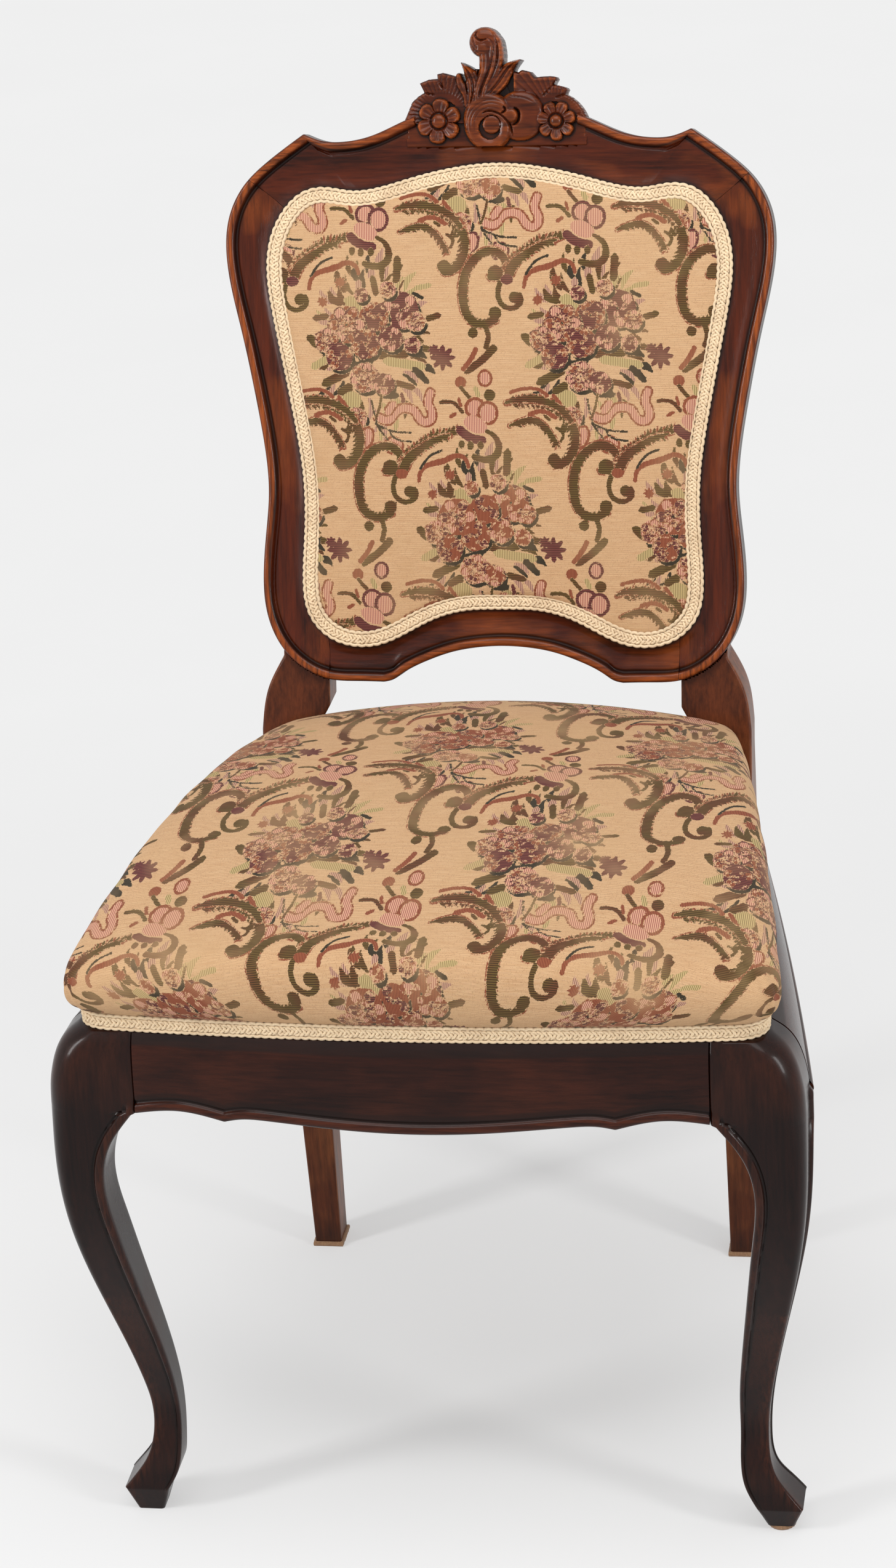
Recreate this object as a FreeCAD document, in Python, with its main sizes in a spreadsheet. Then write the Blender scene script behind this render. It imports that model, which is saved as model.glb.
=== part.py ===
"""Upholstered side chair with cabriole front legs, bow-fronted seat rails and a shaped, moulded back frame.

Lengths are in millimetres. X runs across the chair, Y from front to back and Z up from the floor. The pieces are
first drawn about the seat's own centre line, and the last step moves them so that the origin lies on the floor
under the middle of the whole chair.
"""

import math
import os

import FreeCAD
import Part

from FreeCAD import Rotation, Vector

SIZES = (
    # front legs
    ("knee_half_width", 268.5, "middle of the chair to the outside of a knee"),
    ("knee_reach", 255, "seat centre to the front of a knee"),
    ("knee_block", 65.5, "width of the block that the rails join"),
    ("knee_block_depth", 51, "depth of that block"),
    ("leg_sweep", 38, "how far the ankle stands in from the knee"),
    ("leg_set_back", 62, "how far the ankle stands back from the front of the knee"),
    ("leg_edge_radius", 2.4, "inner edges of the front legs"),
    ("toe_height", 22, "height of the widest part of a front foot"),
    ("toe_width", 34, "width of a front foot there"),
    ("foot_bottom_width", 20, "width of a front foot on the floor"),
    # seat rails
    ("rail_bottom", 369.5, "underside of the seat rails"),
    ("rail_ledge", 428, "ledge that the braid sits on"),
    ("rail_top", 440, "top of the seat rails, under the webbing"),
    ("side_inset", 22, "shoulder of a side rail, from its face in to the braid"),
    ("rear_side_inset", 20, "braid line in from the outside of a rear leg"),
    ("front_inset", 14, "shoulder of the front rail"),
    ("front_bow", 12, "how far the front rail bows forward"),
    ("side_bow", 3, "how far a side rail bows outward"),
    ("rail_core", 12, "thickness of the rails behind the cover, above the ledge"),
    ("rail_rear_proud", 6, "how far a side rail stands out from the rear leg"),
    ("apron_drop", 6, "how far the middle of the front rail hangs below its ends"),
    ("apron_cusp", 138, "middle of the chair to the cusp of the front rail"),
    ("apron_arch", 4, "rise of the small arches beside the cusps"),
    ("lip_height", 7, "moulded lip along the lower edge of the front rail"),
    ("lip_proud", 2.5, "how far the lip stands out"),
    ("rear_rail_thickness", 24, "rear rail, front to back"),
    # rear legs and posts
    ("rear_half_width", 195, "middle of the chair to the outside of a rear leg at the seat"),
    ("rear_reach", 188, "seat centre to the front of the rear legs"),
    ("rear_leg_width", 33, "rear leg across, at the seat"),
    ("rear_leg_depth", 38, "rear leg front to back, at the seat"),
    ("rear_foot_width", 22, "rear leg across, at the floor"),
    ("rear_foot_depth", 28, "rear leg front to back, at the floor"),
    ("rear_foot_set_in", 9, "how far a rear foot stands in from the post"),
    ("rear_foot_kick", 12, "how far a rear foot stands back"),
    ("rear_leg_straight", 30, "upright stretch of a rear leg below its lean"),
    ("post_thickness", 30, "post above the seat, front to back"),
    ("post_set_back", 7, "face of the post behind the face of the back frame"),
    ("post_lap", 80, "height of the post behind the back frame"),
    ("post_bracket", 140, "middle of the chair to the inner edge of a post, under the frame"),
    # mortises, tenons, dowels and screws
    ("tenon_length", 28, "tenons of the front rail"),
    ("side_tenon_length", 18, "tenons of the side rails in the front legs"),
    ("rear_tenon_length", 20, "tenons of the side rails in the rear legs"),
    ("cross_tenon_length", 10, "tenons of the rear rail"),
    ("tenon_thickness", 9, "all the tenons"),
    ("tenon_height", 34, "all the tenons"),
    ("tenon_shoulder", 15, "rail below a tenon"),
    ("joint_gap", 0.2, "clearance of tenons, dowels, glued faces and covers"),
    ("dowel_diameter", 6, "dowels of the back frame"),
    ("dowel_length", 28, "dowels of the back frame"),
    ("screw_diameter", 4, "wood screws of the posts"),
    ("screw_head", 8, "head of such a screw"),
    ("screw_length", 26, "such a screw with its head"),
    ("block_height", 45, "glue blocks inside the rails"),
    ("block_leg", 46, "length of a glue block along each rail"),
    # back frame
    ("back_rake", 15.6, "lean of the back, in degrees"),
    ("back_height", 560, "height of the back's own origin"),
    ("back_reach", 217, "seat centre to the back's own origin"),
    ("frame_half_width", 216, "middle of the back frame to its widest point"),
    ("frame_height", 428, "lower tips of the back frame to its upper ears"),
    ("frame_drop", 51.5, "the lower tips, below the back's own origin"),
    ("frame_thickness", 24, "back frame with its bead"),
    ("bead_width", 7.5, "bead round the outside of the back frame"),
    ("bead_proud", 5, "bead in front of the frame's face"),
    ("bead_round", 2.6, "rounding of the bead"),
    ("rebate_depth", 3, "rebate for the cover and braid"),
    ("rebate_width", 10, "width of that rebate"),
    ("joint_x", 139.5, "middle of the back to its lower joints"),
    # carved cresting
    ("crest_half_width", 72, "middle of the carving to its side leaves"),
    ("crest_height", 96, "foot of the big scroll to the top of the plume"),
    ("crest_foot", 16.5, "foot of the big scroll, below the ears of the back frame"),
    ("crest_back", 22, "back of the carving, behind the bead's front"),
    ("crest_ground", 4, "ground of the carving, behind the bead's front"),
    ("scroll_radius", 20.5, "outside of the big scroll"),
    ("scroll_band", 7.2, "width of the scroll's band"),
    ("scroll_eye", 7.5, "disc in the middle of the scroll"),
    ("shell_radius", 19, "shell lobe beside the scroll"),
    ("rosette_place", 46, "middle of the carving to a rosette"),
    ("rosette_radius", 17.5, "left rosette"),
    ("button_radius", 5.8, "button in a rosette"),
    # seat upholstery
    ("cover_thickness", 1.5, "woven cover"),
    ("braid_width", 13, "braid over the tacked edge"),
    ("braid_thickness", 3, "braid over the tacked edge"),
    ("seat_corner", 26, "rounding of the seat's front corners in plan"),
    ("seat_rear_corner", 14, "rounding of its rear corners in plan"),
    ("cushion_bulge", 8, "how far the cushion swells over the braid"),
    ("cushion_height", 71, "hessian to the crown of the cushion"),
    ("web_width", 50, "webbing strap"),
    ("web_thickness", 1.5, "webbing strap"),
    ("hessian_thickness", 1, "hessian under the stuffing"),
    ("tack_margin", 2, "edge of the webbing and hessian in from the edge of the wood"),
    # back upholstery
    ("back_crown", 6, "crown of the back, in front of the bead"),
    ("back_crown_radius", 1800, "radius of the back's shallow dome"),
    ("back_web_width", 45, "webbing strap in the back"),
    ("lining_margin", 8, "outer edge of the rear lining past the opening"),
    # pads under the feet
    ("pad_thickness", 4, "felt pad under a foot"),
    ("front_pad_radius", 10.5, "pad under the right front foot"),
    ("rear_pad_margin", 2, "pads of the rear feet past the wood"),
    ("overrun", 20, "how far a cutting shape passes the piece it cuts"),
)

# Share of the leg's height up to the rail's ledge, of the sweep, of the set-back, of the block's width and of the
# knee's rounding.
LEG_STATION_SHARES = (
    (0.080, 0.62, 0.86, 0.47, 0.05),
    (0.117, 0.88, 0.88, 0.38, 0.05),
    (0.175, 1.00, 1.00, 0.32, 0.06),
    (0.257, 0.93, 0.93, 0.35, 0.08),
    (0.374, 0.69, 0.69, 0.42, 0.12),
    (0.502, 0.385, 0.385, 0.495, 0.22),
    (0.631, 0.125, 0.125, 0.54, 0.40),
    (0.748, 0.01, 0.01, 0.57, 0.65),
    (0.806, 0.00, 0.00, 0.70, 0.80),
)
TOE_SWEEP_SHARE = 0.36
TOE_SET_BACK_SHARE = 0.83
KNEE_ROUND_SHARE = 0.30
# Share of the rail's height between its underside and its ledge, and share of the shoulder's inset there.
SHOULDER_SHARES = (
    (0.0, 0.0), (0.30, 0.05), (0.475, 0.13), (0.633, 0.24), (0.766, 0.39), (0.884, 0.62), (1.0, 1.0),
)

# Lower edge of the front rail from a cusp to the middle: shares of the cusp's place, of the arch and of the drop.
APRON_SHARES = ((0.92, 0.1, 0.0), (0.78, 0.1, 0.0), (0.42, 0.0, 0.62), (0.0, 0.0, 1.0))
# Post, seen from the front: shares of its width from the bracket outward and of its rise from the rail's top.
POST_OUTER_SHARES = ((1.0, 0.208), (0.90, 0.423), (0.664, 0.584), (0.655, 1.0))
POST_INNER_SHARES = ((0.18, 1.0), (0.18, 0.705), (0.0, 0.604), (0.0, 0.332), (0.164, 0.228), (0.40, 0.08))
POST_SCREW_SHARES = (0.33, 0.78)
BLOCK_TOE_SHARE = 0.33

# Back frame, right half: shares of its half width and of its height above the lower tips.
ARCH_SHARES = (
    (0.0, 0.067), (0.097, 0.064), (0.184, 0.056), (0.271, 0.041), (0.374, 0.0145), (0.407, 0.004), (0.44, 0.0),
)
SIDE_SHARES = (
    (0.44, 0.0), (0.532, 0.001), (0.648, 0.005), (0.722, 0.020), (0.801, 0.053), (0.847, 0.090),
    (0.875, 0.137), (0.882, 0.190), (0.867, 0.284), (0.856, 0.349), (0.868, 0.436), (0.891, 0.508),
    (0.947, 0.651), (0.992, 0.770), (0.983, 0.849), (0.918, 0.913), (0.844, 0.948), (0.701, 1.0),
)
TOP_SHARES = (
    (0.701, 1.0), (0.630, 0.987), (0.5625, 0.985), (0.454, 0.995), (0.333, 1.021), (0.185, 1.045), (0.0, 1.055),
)
# Outer line of the braid in the back, right half, from the top down.
BRAID_LINE_SHARES = (
    (0.0, 0.944), (0.176, 0.935), (0.306, 0.920), (0.440, 0.902), (0.532, 0.898), (0.632, 0.905),
    (0.704, 0.898), (0.785, 0.862), (0.829, 0.819), (0.847, 0.766), (0.831, 0.681), (0.792, 0.578),
    (0.755, 0.478), (0.728, 0.382), (0.727, 0.272), (0.736, 0.186), (0.715, 0.123), (0.644, 0.082),
    (0.549, 0.065), (0.454, 0.068), (0.347, 0.091), (0.241, 0.1175), (0.125, 0.132), (0.0, 0.134),
)
# The carved cresting: shares of its half width and of its height above the foot of the scroll.
LEFT_LEAF_SHARES = (
    (-1.0, 0.26), (-0.96, 0.33), (-0.88, 0.42), (-0.78, 0.46), (-0.83, 0.55), (-0.63, 0.58), (-0.64, 0.62),
    (-0.57, 0.63), (-0.42, 0.60), (-0.33, 0.63), (-0.30, 0.62), (-0.38, 0.73), (-0.25, 0.72), (-0.21, 0.75),
)
CURL_SHARES = (
    (-0.21, 0.75), (-0.235, 0.80), (-0.275, 0.87), (-0.25, 0.94), (-0.18, 0.985), (-0.08, 1.0),
    (0.01, 0.97), (0.075, 0.895), (0.11, 0.80), (0.11, 0.735),
)
RIGHT_LEAF_SHARES = (
    (0.11, 0.735), (0.27, 0.735), (0.255, 0.65), (0.36, 0.645), (0.42, 0.61), (0.64, 0.61), (0.66, 0.587),
    (0.64, 0.535), (0.77, 0.50), (0.745, 0.45), (0.86, 0.405), (0.935, 0.34), (0.98, 0.265),
)
CREST_FOOT_SHARES = (
    (0.98, 0.265), (0.86, 0.12), (0.46, 0.06), (0.34, 0.02), (0.0, 0.0), (-0.33, 0.12), (-0.86, 0.12), (-1.0, 0.26),
)
SCROLL_HALF_TURN_SHARES = (1.0, 0.72, 0.52)
SCROLL_PLACE_SHARES = (-0.03, 0.215)
SHELL_PLACE_SHARES = (0.26, 0.29)
ROSETTE_RISE_SHARE = 0.255
CROOK_PLACE_SHARES = (-0.09, 0.875)
CROOK_RADIUS_SHARE = 0.42
CROOK_KNOB_SHARE = 1.15
STEM_FOOT_SHARES = (-0.2, 0.27)
PETALS = (6, 7)
PETAL_ROSETTE_SHARES = (1.0, 0.86)
SHELL_TOP_SHARE = 0.86
PETAL_PLACE_SHARE = 0.62
PETAL_RADIUS_SHARE = 0.40

# The joints of the back frame: ends of the upper one (outer, inner), heights of the lower one, and its dowels.
UPPER_JOINT_SHARES = ((0.898, 0.917), (0.782, 0.869))
LOWER_JOINT_SHARES = (0.005, 0.085)
DOWEL_PLACE_SHARES = (0.22, 0.68)

# Seat cushion: share of its height, and share of the bulge, or of the half width when it draws in.
CUSHION_SIDE_SHARES = ((0.0, 0.0), (0.15, 0.45), (0.34, 1.0), (0.54, 0.80))
CUSHION_TOP_SHARES = ((0.68, 0.01), (0.78, 0.08), (0.87, 0.19), (0.945, 0.36), (1.0, 0.58))
WEB_COUNT = 4
BACK_WEB_COUNT = 3

doc = FreeCAD.newDocument("upholstered_chair")
sheet = doc.addObject("Spreadsheet::Sheet", "sizes")
for row, (alias, value, note) in enumerate(SIZES, start=1):
    sheet.set(f"A{row}", note)
    sheet.set(f"B{row}", str(value))
    sheet.setAlias(f"B{row}", alias)
doc.recompute()

made = []


def size(alias):
    """The named size, as a number."""
    return float(sheet.get(alias))


def add(label, shape, placement=None):
    """A piece whose shape is worked out here."""
    piece = doc.addObject("Part::Feature", label)
    piece.Label = label
    piece.Shape = shape
    if placement:
        piece.Placement = placement
    made.append(piece)
    return piece


def mirrored(shape):
    """The same shape on the other side of the chair."""
    return shape.mirror(Vector(), Vector(1, 0, 0))


def sketch_in(body, points):
    """A closed sketch of straight lines on the body's own XY plane."""
    plane = next(o for o in body.Origin.OriginFeatures if o.Role == "XY_Plane")
    sketch = body.newObject("Sketcher::SketchObject", body.Name + "_outline")
    sketch.AttachmentSupport = [(plane, "")]
    sketch.MapMode = "FlatFace"
    for start, end in zip(points, points[1:] + points[:1]):
        sketch.addGeometry(Part.LineSegment(Vector(*start, 0), Vector(*end, 0)), False)
    return sketch


def block(name, corner, **formulas):
    """A box whose sides follow the sheet."""
    piece = doc.addObject("Part::Box", name)
    for side, formula in formulas.items():
        piece.setExpression(side, formula)
    piece.Placement.Base = corner
    return piece


def group(kind, label, members, placement=None):
    """A piece joined from members of the document: fused into one solid, or a set of separate solids."""
    piece = doc.addObject(kind, label)
    piece.Label = label
    if kind == "Part::MultiFuse":
        piece.Shapes = members
    else:
        piece.Links = members
    if placement:
        piece.Placement = placement
    made.append(piece)
    return piece


def pad_body(label, points, thickness, placement):
    """A flat piece: a sketch of its outline, padded by a size of the sheet."""
    body = doc.addObject("PartDesign::Body", label)
    body.Label = label
    pad = body.newObject("PartDesign::Pad", label + "_pad")
    pad.Profile = sketch_in(body, points)
    pad.setExpression("Length", "sizes." + thickness)
    body.Placement = placement
    made.append(body)
    return body


def box(x_range, y_range, z_range):
    """A box between two values on each axis."""
    low = Vector(x_range[0], y_range[0], z_range[0])
    return Part.makeBox(x_range[1] - low.x, y_range[1] - low.y, z_range[1] - low.z, low)


def rod(diameter, start, direction, length):
    """A round bar from a start point."""
    return Part.makeCylinder(diameter / 2, length, start, direction)


def curve(points):
    """A smooth edge through points."""
    spline = Part.BSplineCurve()
    spline.interpolate(points)
    return spline.toShape()


def bezier(*poles):
    """A smooth edge that starts and ends along its outer poles."""
    arc = Part.BezierCurve()
    arc.setPoles(list(poles))
    return arc.toShape()


def prism(wire, bottom, top):
    """The solid that a flat wire at height zero sweeps between two heights."""
    face = Part.Face(wire)
    face.translate(Vector(0, 0, bottom))
    return face.extrude(Vector(0, 0, top - bottom))


# Shared places, all worked out from the sheet.
middle_z = size("rail_bottom")
ledge_z = size("rail_ledge")
top_z = size("rail_top")
knee_x = size("knee_half_width")
knee_y = -size("knee_reach")
block_x = knee_x - size("knee_block")
block_y = knee_y + size("knee_block_depth")
rear_y = size("rear_reach")
rear_x = size("rear_half_width")
rear_inner_x = rear_x - size("rear_leg_width")
rear_rail_y = rear_y + size("rear_rail_thickness")
gap = size("joint_gap")
past = size("overrun")
lap_top = size("back_height") - size("frame_drop") + size("post_lap")
face_z = -size("bead_proud")
rebate_z = face_z - size("rebate_depth")
rear_z = -size("frame_thickness")


def meet(one, one_to, two, two_to):
    """Where the line from one through one_to meets the line from two through two_to."""
    first, second = one_to - one, two_to - two
    scale = first.x * second.y - first.y * second.x
    distance = ((two.x - one.x) * second.y - (two.y - one.y) * second.x) / scale
    return one + first * distance


def flip(point):
    """The point on the other side of the chair."""
    return Vector(-point.x, point.y, point.z)


def seat_corners(inset):
    """Virtual right corners of the seat in plan, front and rear, set in from the braid's outer line."""
    front = Vector(knee_x - size("side_inset") - inset, knee_y + size("front_inset") + inset, 0)
    rear = Vector(rear_x - size("rear_side_inset") - inset, rear_rail_y - max(inset, 0), 0)
    return front, rear


def seat_runs(inset):
    """The seat's plan as Bezier poles: bowed front, front corner, bowed side, rear corner."""
    front, rear = seat_corners(inset)
    chord = (rear - front).normalize()
    outward = Vector(chord.y, -chord.x, 0)
    front_mid = Vector(0, front.y - 2 * size("front_bow"), 0)
    side_mid = (front + rear) / 2 + outward * 2 * size("side_bow")
    front_end = front + (front_mid - front).normalize() * size("seat_corner")
    side_start = front + (side_mid - front).normalize() * size("seat_corner")
    side_end = rear + (side_mid - rear).normalize() * size("seat_rear_corner")
    rear_start = rear - Vector(size("seat_rear_corner"), 0, 0)
    front_corner = meet(front_mid, front_end, side_mid, side_start)
    rear_corner = meet(side_mid, side_end, rear_start, rear)
    return ((flip(front_end), front_mid, front_end), (front_end, front_corner, side_start),
            (side_start, side_mid, side_end), (side_end, rear_corner, rear_start))


def seat_wire(inset, height=0.0):
    """Plan outline of the seat: bowed front and sides, straight rear, rounded corners."""
    runs = seat_runs(inset)
    edges = [bezier(*run) for run in runs]
    edges.append(Part.LineSegment(runs[-1][-1], flip(runs[-1][-1])).toShape())
    edges += [bezier(*[flip(pole) for pole in reversed(run)]) for run in reversed(runs[1:])]
    wire = Part.Wire(edges)
    wire.translate(Vector(0, 0, height))
    return wire


def braid_x(y):
    """Outer line of the seat's braid along a side: the side run's place at y."""
    start, pole, end = seat_runs(0)[2]
    square, linear = start.y - 2 * pole.y + end.y, 2 * (pole.y - start.y)
    share = 2 * (y - start.y) / (linear + math.sqrt(linear ** 2 + 4 * square * (y - start.y)))
    return start.x * (1 - share) ** 2 + 2 * pole.x * share * (1 - share) + end.x * share ** 2


def braid_y(x):
    """Outer line of the seat's braid along the front: the front run's place at x."""
    start, pole, end = seat_runs(0)[0]
    share = (x - start.x) / (end.x - start.x)
    return start.y * (1 - share) ** 2 + 2 * pole.y * share * (1 - share) + end.y * share ** 2


cover_inset = size("braid_thickness")
wood_inset = cover_inset + size("cover_thickness")
deck = prism(seat_wire(wood_inset, 0), ledge_z, top_z)


def tenon(x_range, y_range, grow=0.0):
    """A tenon, or with grow the mortise that takes it."""
    low = middle_z + size("tenon_shoulder")
    return box((x_range[0] - grow, x_range[1] + grow), (y_range[0] - grow, y_range[1] + grow),
               (low - grow, low + size("tenon_height") + grow))


def about(centre, width):
    """A range of the given width about a centre."""
    return centre - width / 2, centre + width / 2


thick = size("tenon_thickness")
front_inner_y = knee_y + size("front_inset") + wood_inset + size("rail_core")
rear_tenon_x = (rear_inner_x + rear_x) / 2
FRONT_TENON = ((block_x - past, block_x + size("tenon_length")), about(front_inner_y - size("rail_core") / 2, thick))
SIDE_TENON = (about(braid_x(block_y) - wood_inset - size("rail_core") / 2, thick),
              (block_y - size("side_tenon_length"), block_y + past))
REAR_TENON = (about(rear_tenon_x, thick), (rear_y - past, rear_y + size("rear_tenon_length")))
CROSS_TENON = ((rear_inner_x - past, rear_inner_x + size("cross_tenon_length")),
               about((rear_y + rear_rail_y) / 2, thick))


rake = math.radians(size("back_rake"))
back_placement = FreeCAD.Placement(Vector(0, size("back_reach"), size("back_height")),
                                   Rotation(Vector(1, 0, 0), 90 - size("back_rake")))


def lean_y(height, behind):
    """Y of a plane of the back that lies behind the bead's front, at a height above the floor."""
    return size("back_reach") + (height - size("back_height")) * math.tan(rake) + behind / math.cos(rake)


def lean_z(y, behind):
    """Height at which such a plane passes a place in y."""
    return size("back_height") + (y - size("back_reach") - behind / math.cos(rake)) / math.tan(rake)


def half_line(shares):
    """Points of the back frame from shares of its half width and height."""
    width, height, drop = size("frame_half_width"), size("frame_height"), size("frame_drop")
    return [Vector(width * x, height * y - drop, 0) for x, y in shares]


def both_halves(points):
    """Points that start on the middle line, from the left end to the right end."""
    return [flip(p) for p in points[:0:-1]] + points


def frame_runs():
    """Outer line of the back frame as four smooth runs between its four corners."""
    side = half_line(SIDE_SHARES)
    arch = both_halves(half_line(ARCH_SHARES))
    top = both_halves(half_line(TOP_SHARES)[::-1])
    return [arch, side, top[::-1], [flip(p) for p in reversed(side)]]


def inset_runs(runs, distance):
    """The runs moved inward, mitred at their corners."""
    dense = [curve(run).discretize(Number=3 * len(run)) for run in runs]
    loop = [p for run in dense for p in run[:-1]]
    moved = []
    for before, here, after in zip(loop[-1:] + loop[:-1], loop, loop[1:] + loop[:1]):
        into, out = (here - before).normalize(), (after - here).normalize()
        normals = Vector(-into.y, into.x, 0), Vector(-out.y, out.x, 0)
        moved.append(here + (normals[0] + normals[1]) * (distance / (1 + normals[0].dot(normals[1]))))
    result = []
    place = 0
    for run in dense:
        count = len(run)
        result.append([moved[(place + step) % len(moved)] for step in range(count)])
        place += count - 1
    return result


def runs_wire(runs):
    """Closed wire of smooth runs."""
    return Part.Wire([curve(run) for run in runs])


def braid_runs(inset):
    """Outer line of the back's braid, moved inward, as a right and a left run."""
    right = half_line(BRAID_LINE_SHARES)[::-1]
    left = [flip(p) for p in reversed(right)]
    runs = [right, left]
    return inset_runs(runs, inset) if inset else runs


def slab(runs, low, high):
    """Solid between two heights of the back, inside a closed line of runs."""
    return prism(runs_wire(runs), low, high)


def rounded_polygon(corners, radii):
    """Closed wire through level corners, each rounded by its own radius."""
    count = len(corners)
    ends = []
    for index, corner in enumerate(corners):
        back = (corners[index - 1] - corner).normalize()
        ahead = (corners[(index + 1) % count] - corner).normalize()
        half = back.getAngle(ahead) / 2
        reach = radii[index] / math.tan(half)
        crown = corner + (back + ahead).normalize() * (radii[index] / math.sin(half) - radii[index])
        ends.append((corner + back * reach, crown, corner + ahead * reach))
    edges = []
    for index, (start, crown, end) in enumerate(ends):
        edges.append(Part.Arc(start, crown, end).toShape())
        edges.append(Part.LineSegment(end, ends[(index + 1) % count][0]).toShape())
    return Part.Wire(edges)


def leg_section(height, sweep, set_back, width, knee_radius):
    """Square section of a front leg, set in from the side of the knee and back from its front."""
    high_x = knee_x - sweep
    front = knee_y + set_back
    corners = [Vector(high_x, front, height), Vector(high_x, front + width, height),
               Vector(high_x - width, front + width, height), Vector(high_x - width, front, height)]
    edge = size("leg_edge_radius")
    return rounded_polygon(corners, (knee_radius, edge, edge, edge))


def shoulder_section(height, inset_share, knee_radius):
    """Section of the knee block, whose front and side draw in to the line of the braid."""
    ledge = [Vector(*seat_corners(0)[0]), Vector(braid_x(block_y), block_y, 0), Vector(block_x, block_y, 0),
             Vector(block_x, braid_y(block_x), 0)]
    square = [Vector(knee_x, knee_y, 0), Vector(knee_x, block_y, 0), Vector(block_x, block_y, 0),
              Vector(block_x, knee_y, 0)]
    lift = Vector(0, 0, height)
    corners = [low + (high - low) * inset_share + lift for low, high in zip(square, ledge)]
    edge = size("leg_edge_radius")
    return rounded_polygon(corners, (knee_radius, edge, edge, edge))


def build_front_leg(foot_z):
    """Right front leg: foot, swept cabriole leg, knee block and its part of the seat's deck."""
    sweep = size("leg_sweep")
    set_back = size("leg_set_back")
    block = size("knee_block")
    knee_radius = block * KNEE_ROUND_SHARE
    edge = size("leg_edge_radius")
    toe_in = sweep * TOE_SWEEP_SHARE
    toe_back = set_back * TOE_SET_BACK_SHARE
    toe_width = size("toe_width")
    bottom_width = size("foot_bottom_width")
    slope = (toe_width - bottom_width) / 2
    toe = leg_section(size("toe_height"), toe_in, toe_back, toe_width, edge)
    bottom = leg_section(foot_z, toe_in + slope, toe_back + slope, bottom_width, edge)
    foot = Part.makeLoft([bottom, toe], True, True)
    sections = [toe]
    for height_share, sweep_share, back_share, width_share, round_share in LEG_STATION_SHARES:
        radius = max(knee_radius * round_share, edge)
        sections.append(leg_section(ledge_z * height_share, sweep * sweep_share, set_back * back_share,
                                    block * width_share, radius))
    for height_share, inset_share in SHOULDER_SHARES:
        height = middle_z + (ledge_z - middle_z) * height_share
        sections.append(shoulder_section(height, inset_share, knee_radius))
    leg = Part.makeLoft(sections, True, False)
    top = deck.common(box((block_x, knee_x), (knee_y - past, block_y), (ledge_z, top_z)))
    return leg.fuse([foot, top]).cut([tenon(*FRONT_TENON, grow=gap), tenon(*SIDE_TENON, grow=gap)])


def rail_section(place, outer, ledge, inner, bottom):
    """Closed section of a seat rail up to its ledge. place(distance, height) puts a point into its plane."""
    shoulder = [place(outer + (ledge - outer) * inset_share, middle_z + (ledge_z - middle_z) * height_share)
                for height_share, inset_share in SHOULDER_SHARES]
    corners = [shoulder[-1], place(inner, ledge_z), place(inner, bottom), place(outer, bottom)]
    if bottom < middle_z:
        corners.append(shoulder[0])
    edges = [Part.LineSegment(start, end).toShape() for start, end in zip(corners, corners[1:])]
    return Part.Wire([curve(shoulder)] + edges)


def side_inner_x(y):
    """Flat inner face of a side rail."""
    share = (y - block_y) / (rear_y - block_y)
    return braid_x(block_y) * (1 - share) + braid_x(rear_y) * share - wood_inset - size("rail_core")


def build_side_rail():
    """Right side rail: bowed, with a rounded shoulder under the braid, and a tenon at each end."""
    sections = []
    rear_outer = rear_x + size("rail_rear_proud")
    for share in (0.0, 0.5, 1.0):
        y = block_y + (rear_y - block_y) * share
        outer = knee_x + (rear_outer - knee_x) * share + 4 * size("side_bow") * share * (1 - share)
        section = rail_section(lambda out, z: Vector(out, y, z), outer, braid_x(y), side_inner_x(y), middle_z)
        sections.append(section)
    zone = [Vector(side_inner_x(block_y), block_y, 0), Vector(knee_x, block_y, 0), Vector(knee_x, rear_y, 0),
            Vector(side_inner_x(rear_y), rear_y, 0)]
    top = deck.common(prism(Part.makePolygon(zone + zone[:1]), ledge_z, top_z))
    front_tenon = tenon(*SIDE_TENON).common(box((0, knee_x), (knee_y, block_y), (0, top_z)))
    rear_tenon = tenon(*REAR_TENON).common(box((0, knee_x), (rear_y, rear_rail_y + past), (0, top_z)))
    return Part.makeLoft(sections, True, False).fuse([top, front_tenon, rear_tenon])


def apron_edge():
    """Lower edge of the front rail, right half from the joint to the middle: a small arch, a cusp, a long swell."""
    arch = size("apron_arch")
    cusp = size("apron_cusp")
    reach = block_x - cusp
    outer = [Vector(block_x, 0, middle_z), Vector(cusp + reach / 2, 0, middle_z + arch),
             Vector(cusp, 0, middle_z - arch / 2)]
    inner = [outer[-1]] + [Vector(cusp * x_share, 0, middle_z + arch * arch_share - size("apron_drop") * drop_share)
                           for x_share, arch_share, drop_share in APRON_SHARES]
    return outer, inner


def apron_region(rise, floor):
    """Flat face between the lower edge of the front rail, moved up by rise, and a level line below it."""
    lift = Vector(0, 0, rise)
    outer, inner = [[point + lift for point in run] for run in apron_edge()]
    swell = inner + [flip(point) for point in inner[-2::-1]]
    low_right = Vector(block_x, 0, floor)
    sides = Part.makePolygon([flip(outer[0]), flip(low_right), low_right, outer[0]])
    edges = [curve(outer), curve(swell), curve([flip(point) for point in reversed(outer)])]
    return Part.Face(Part.Wire(edges + sides.Edges))


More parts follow.
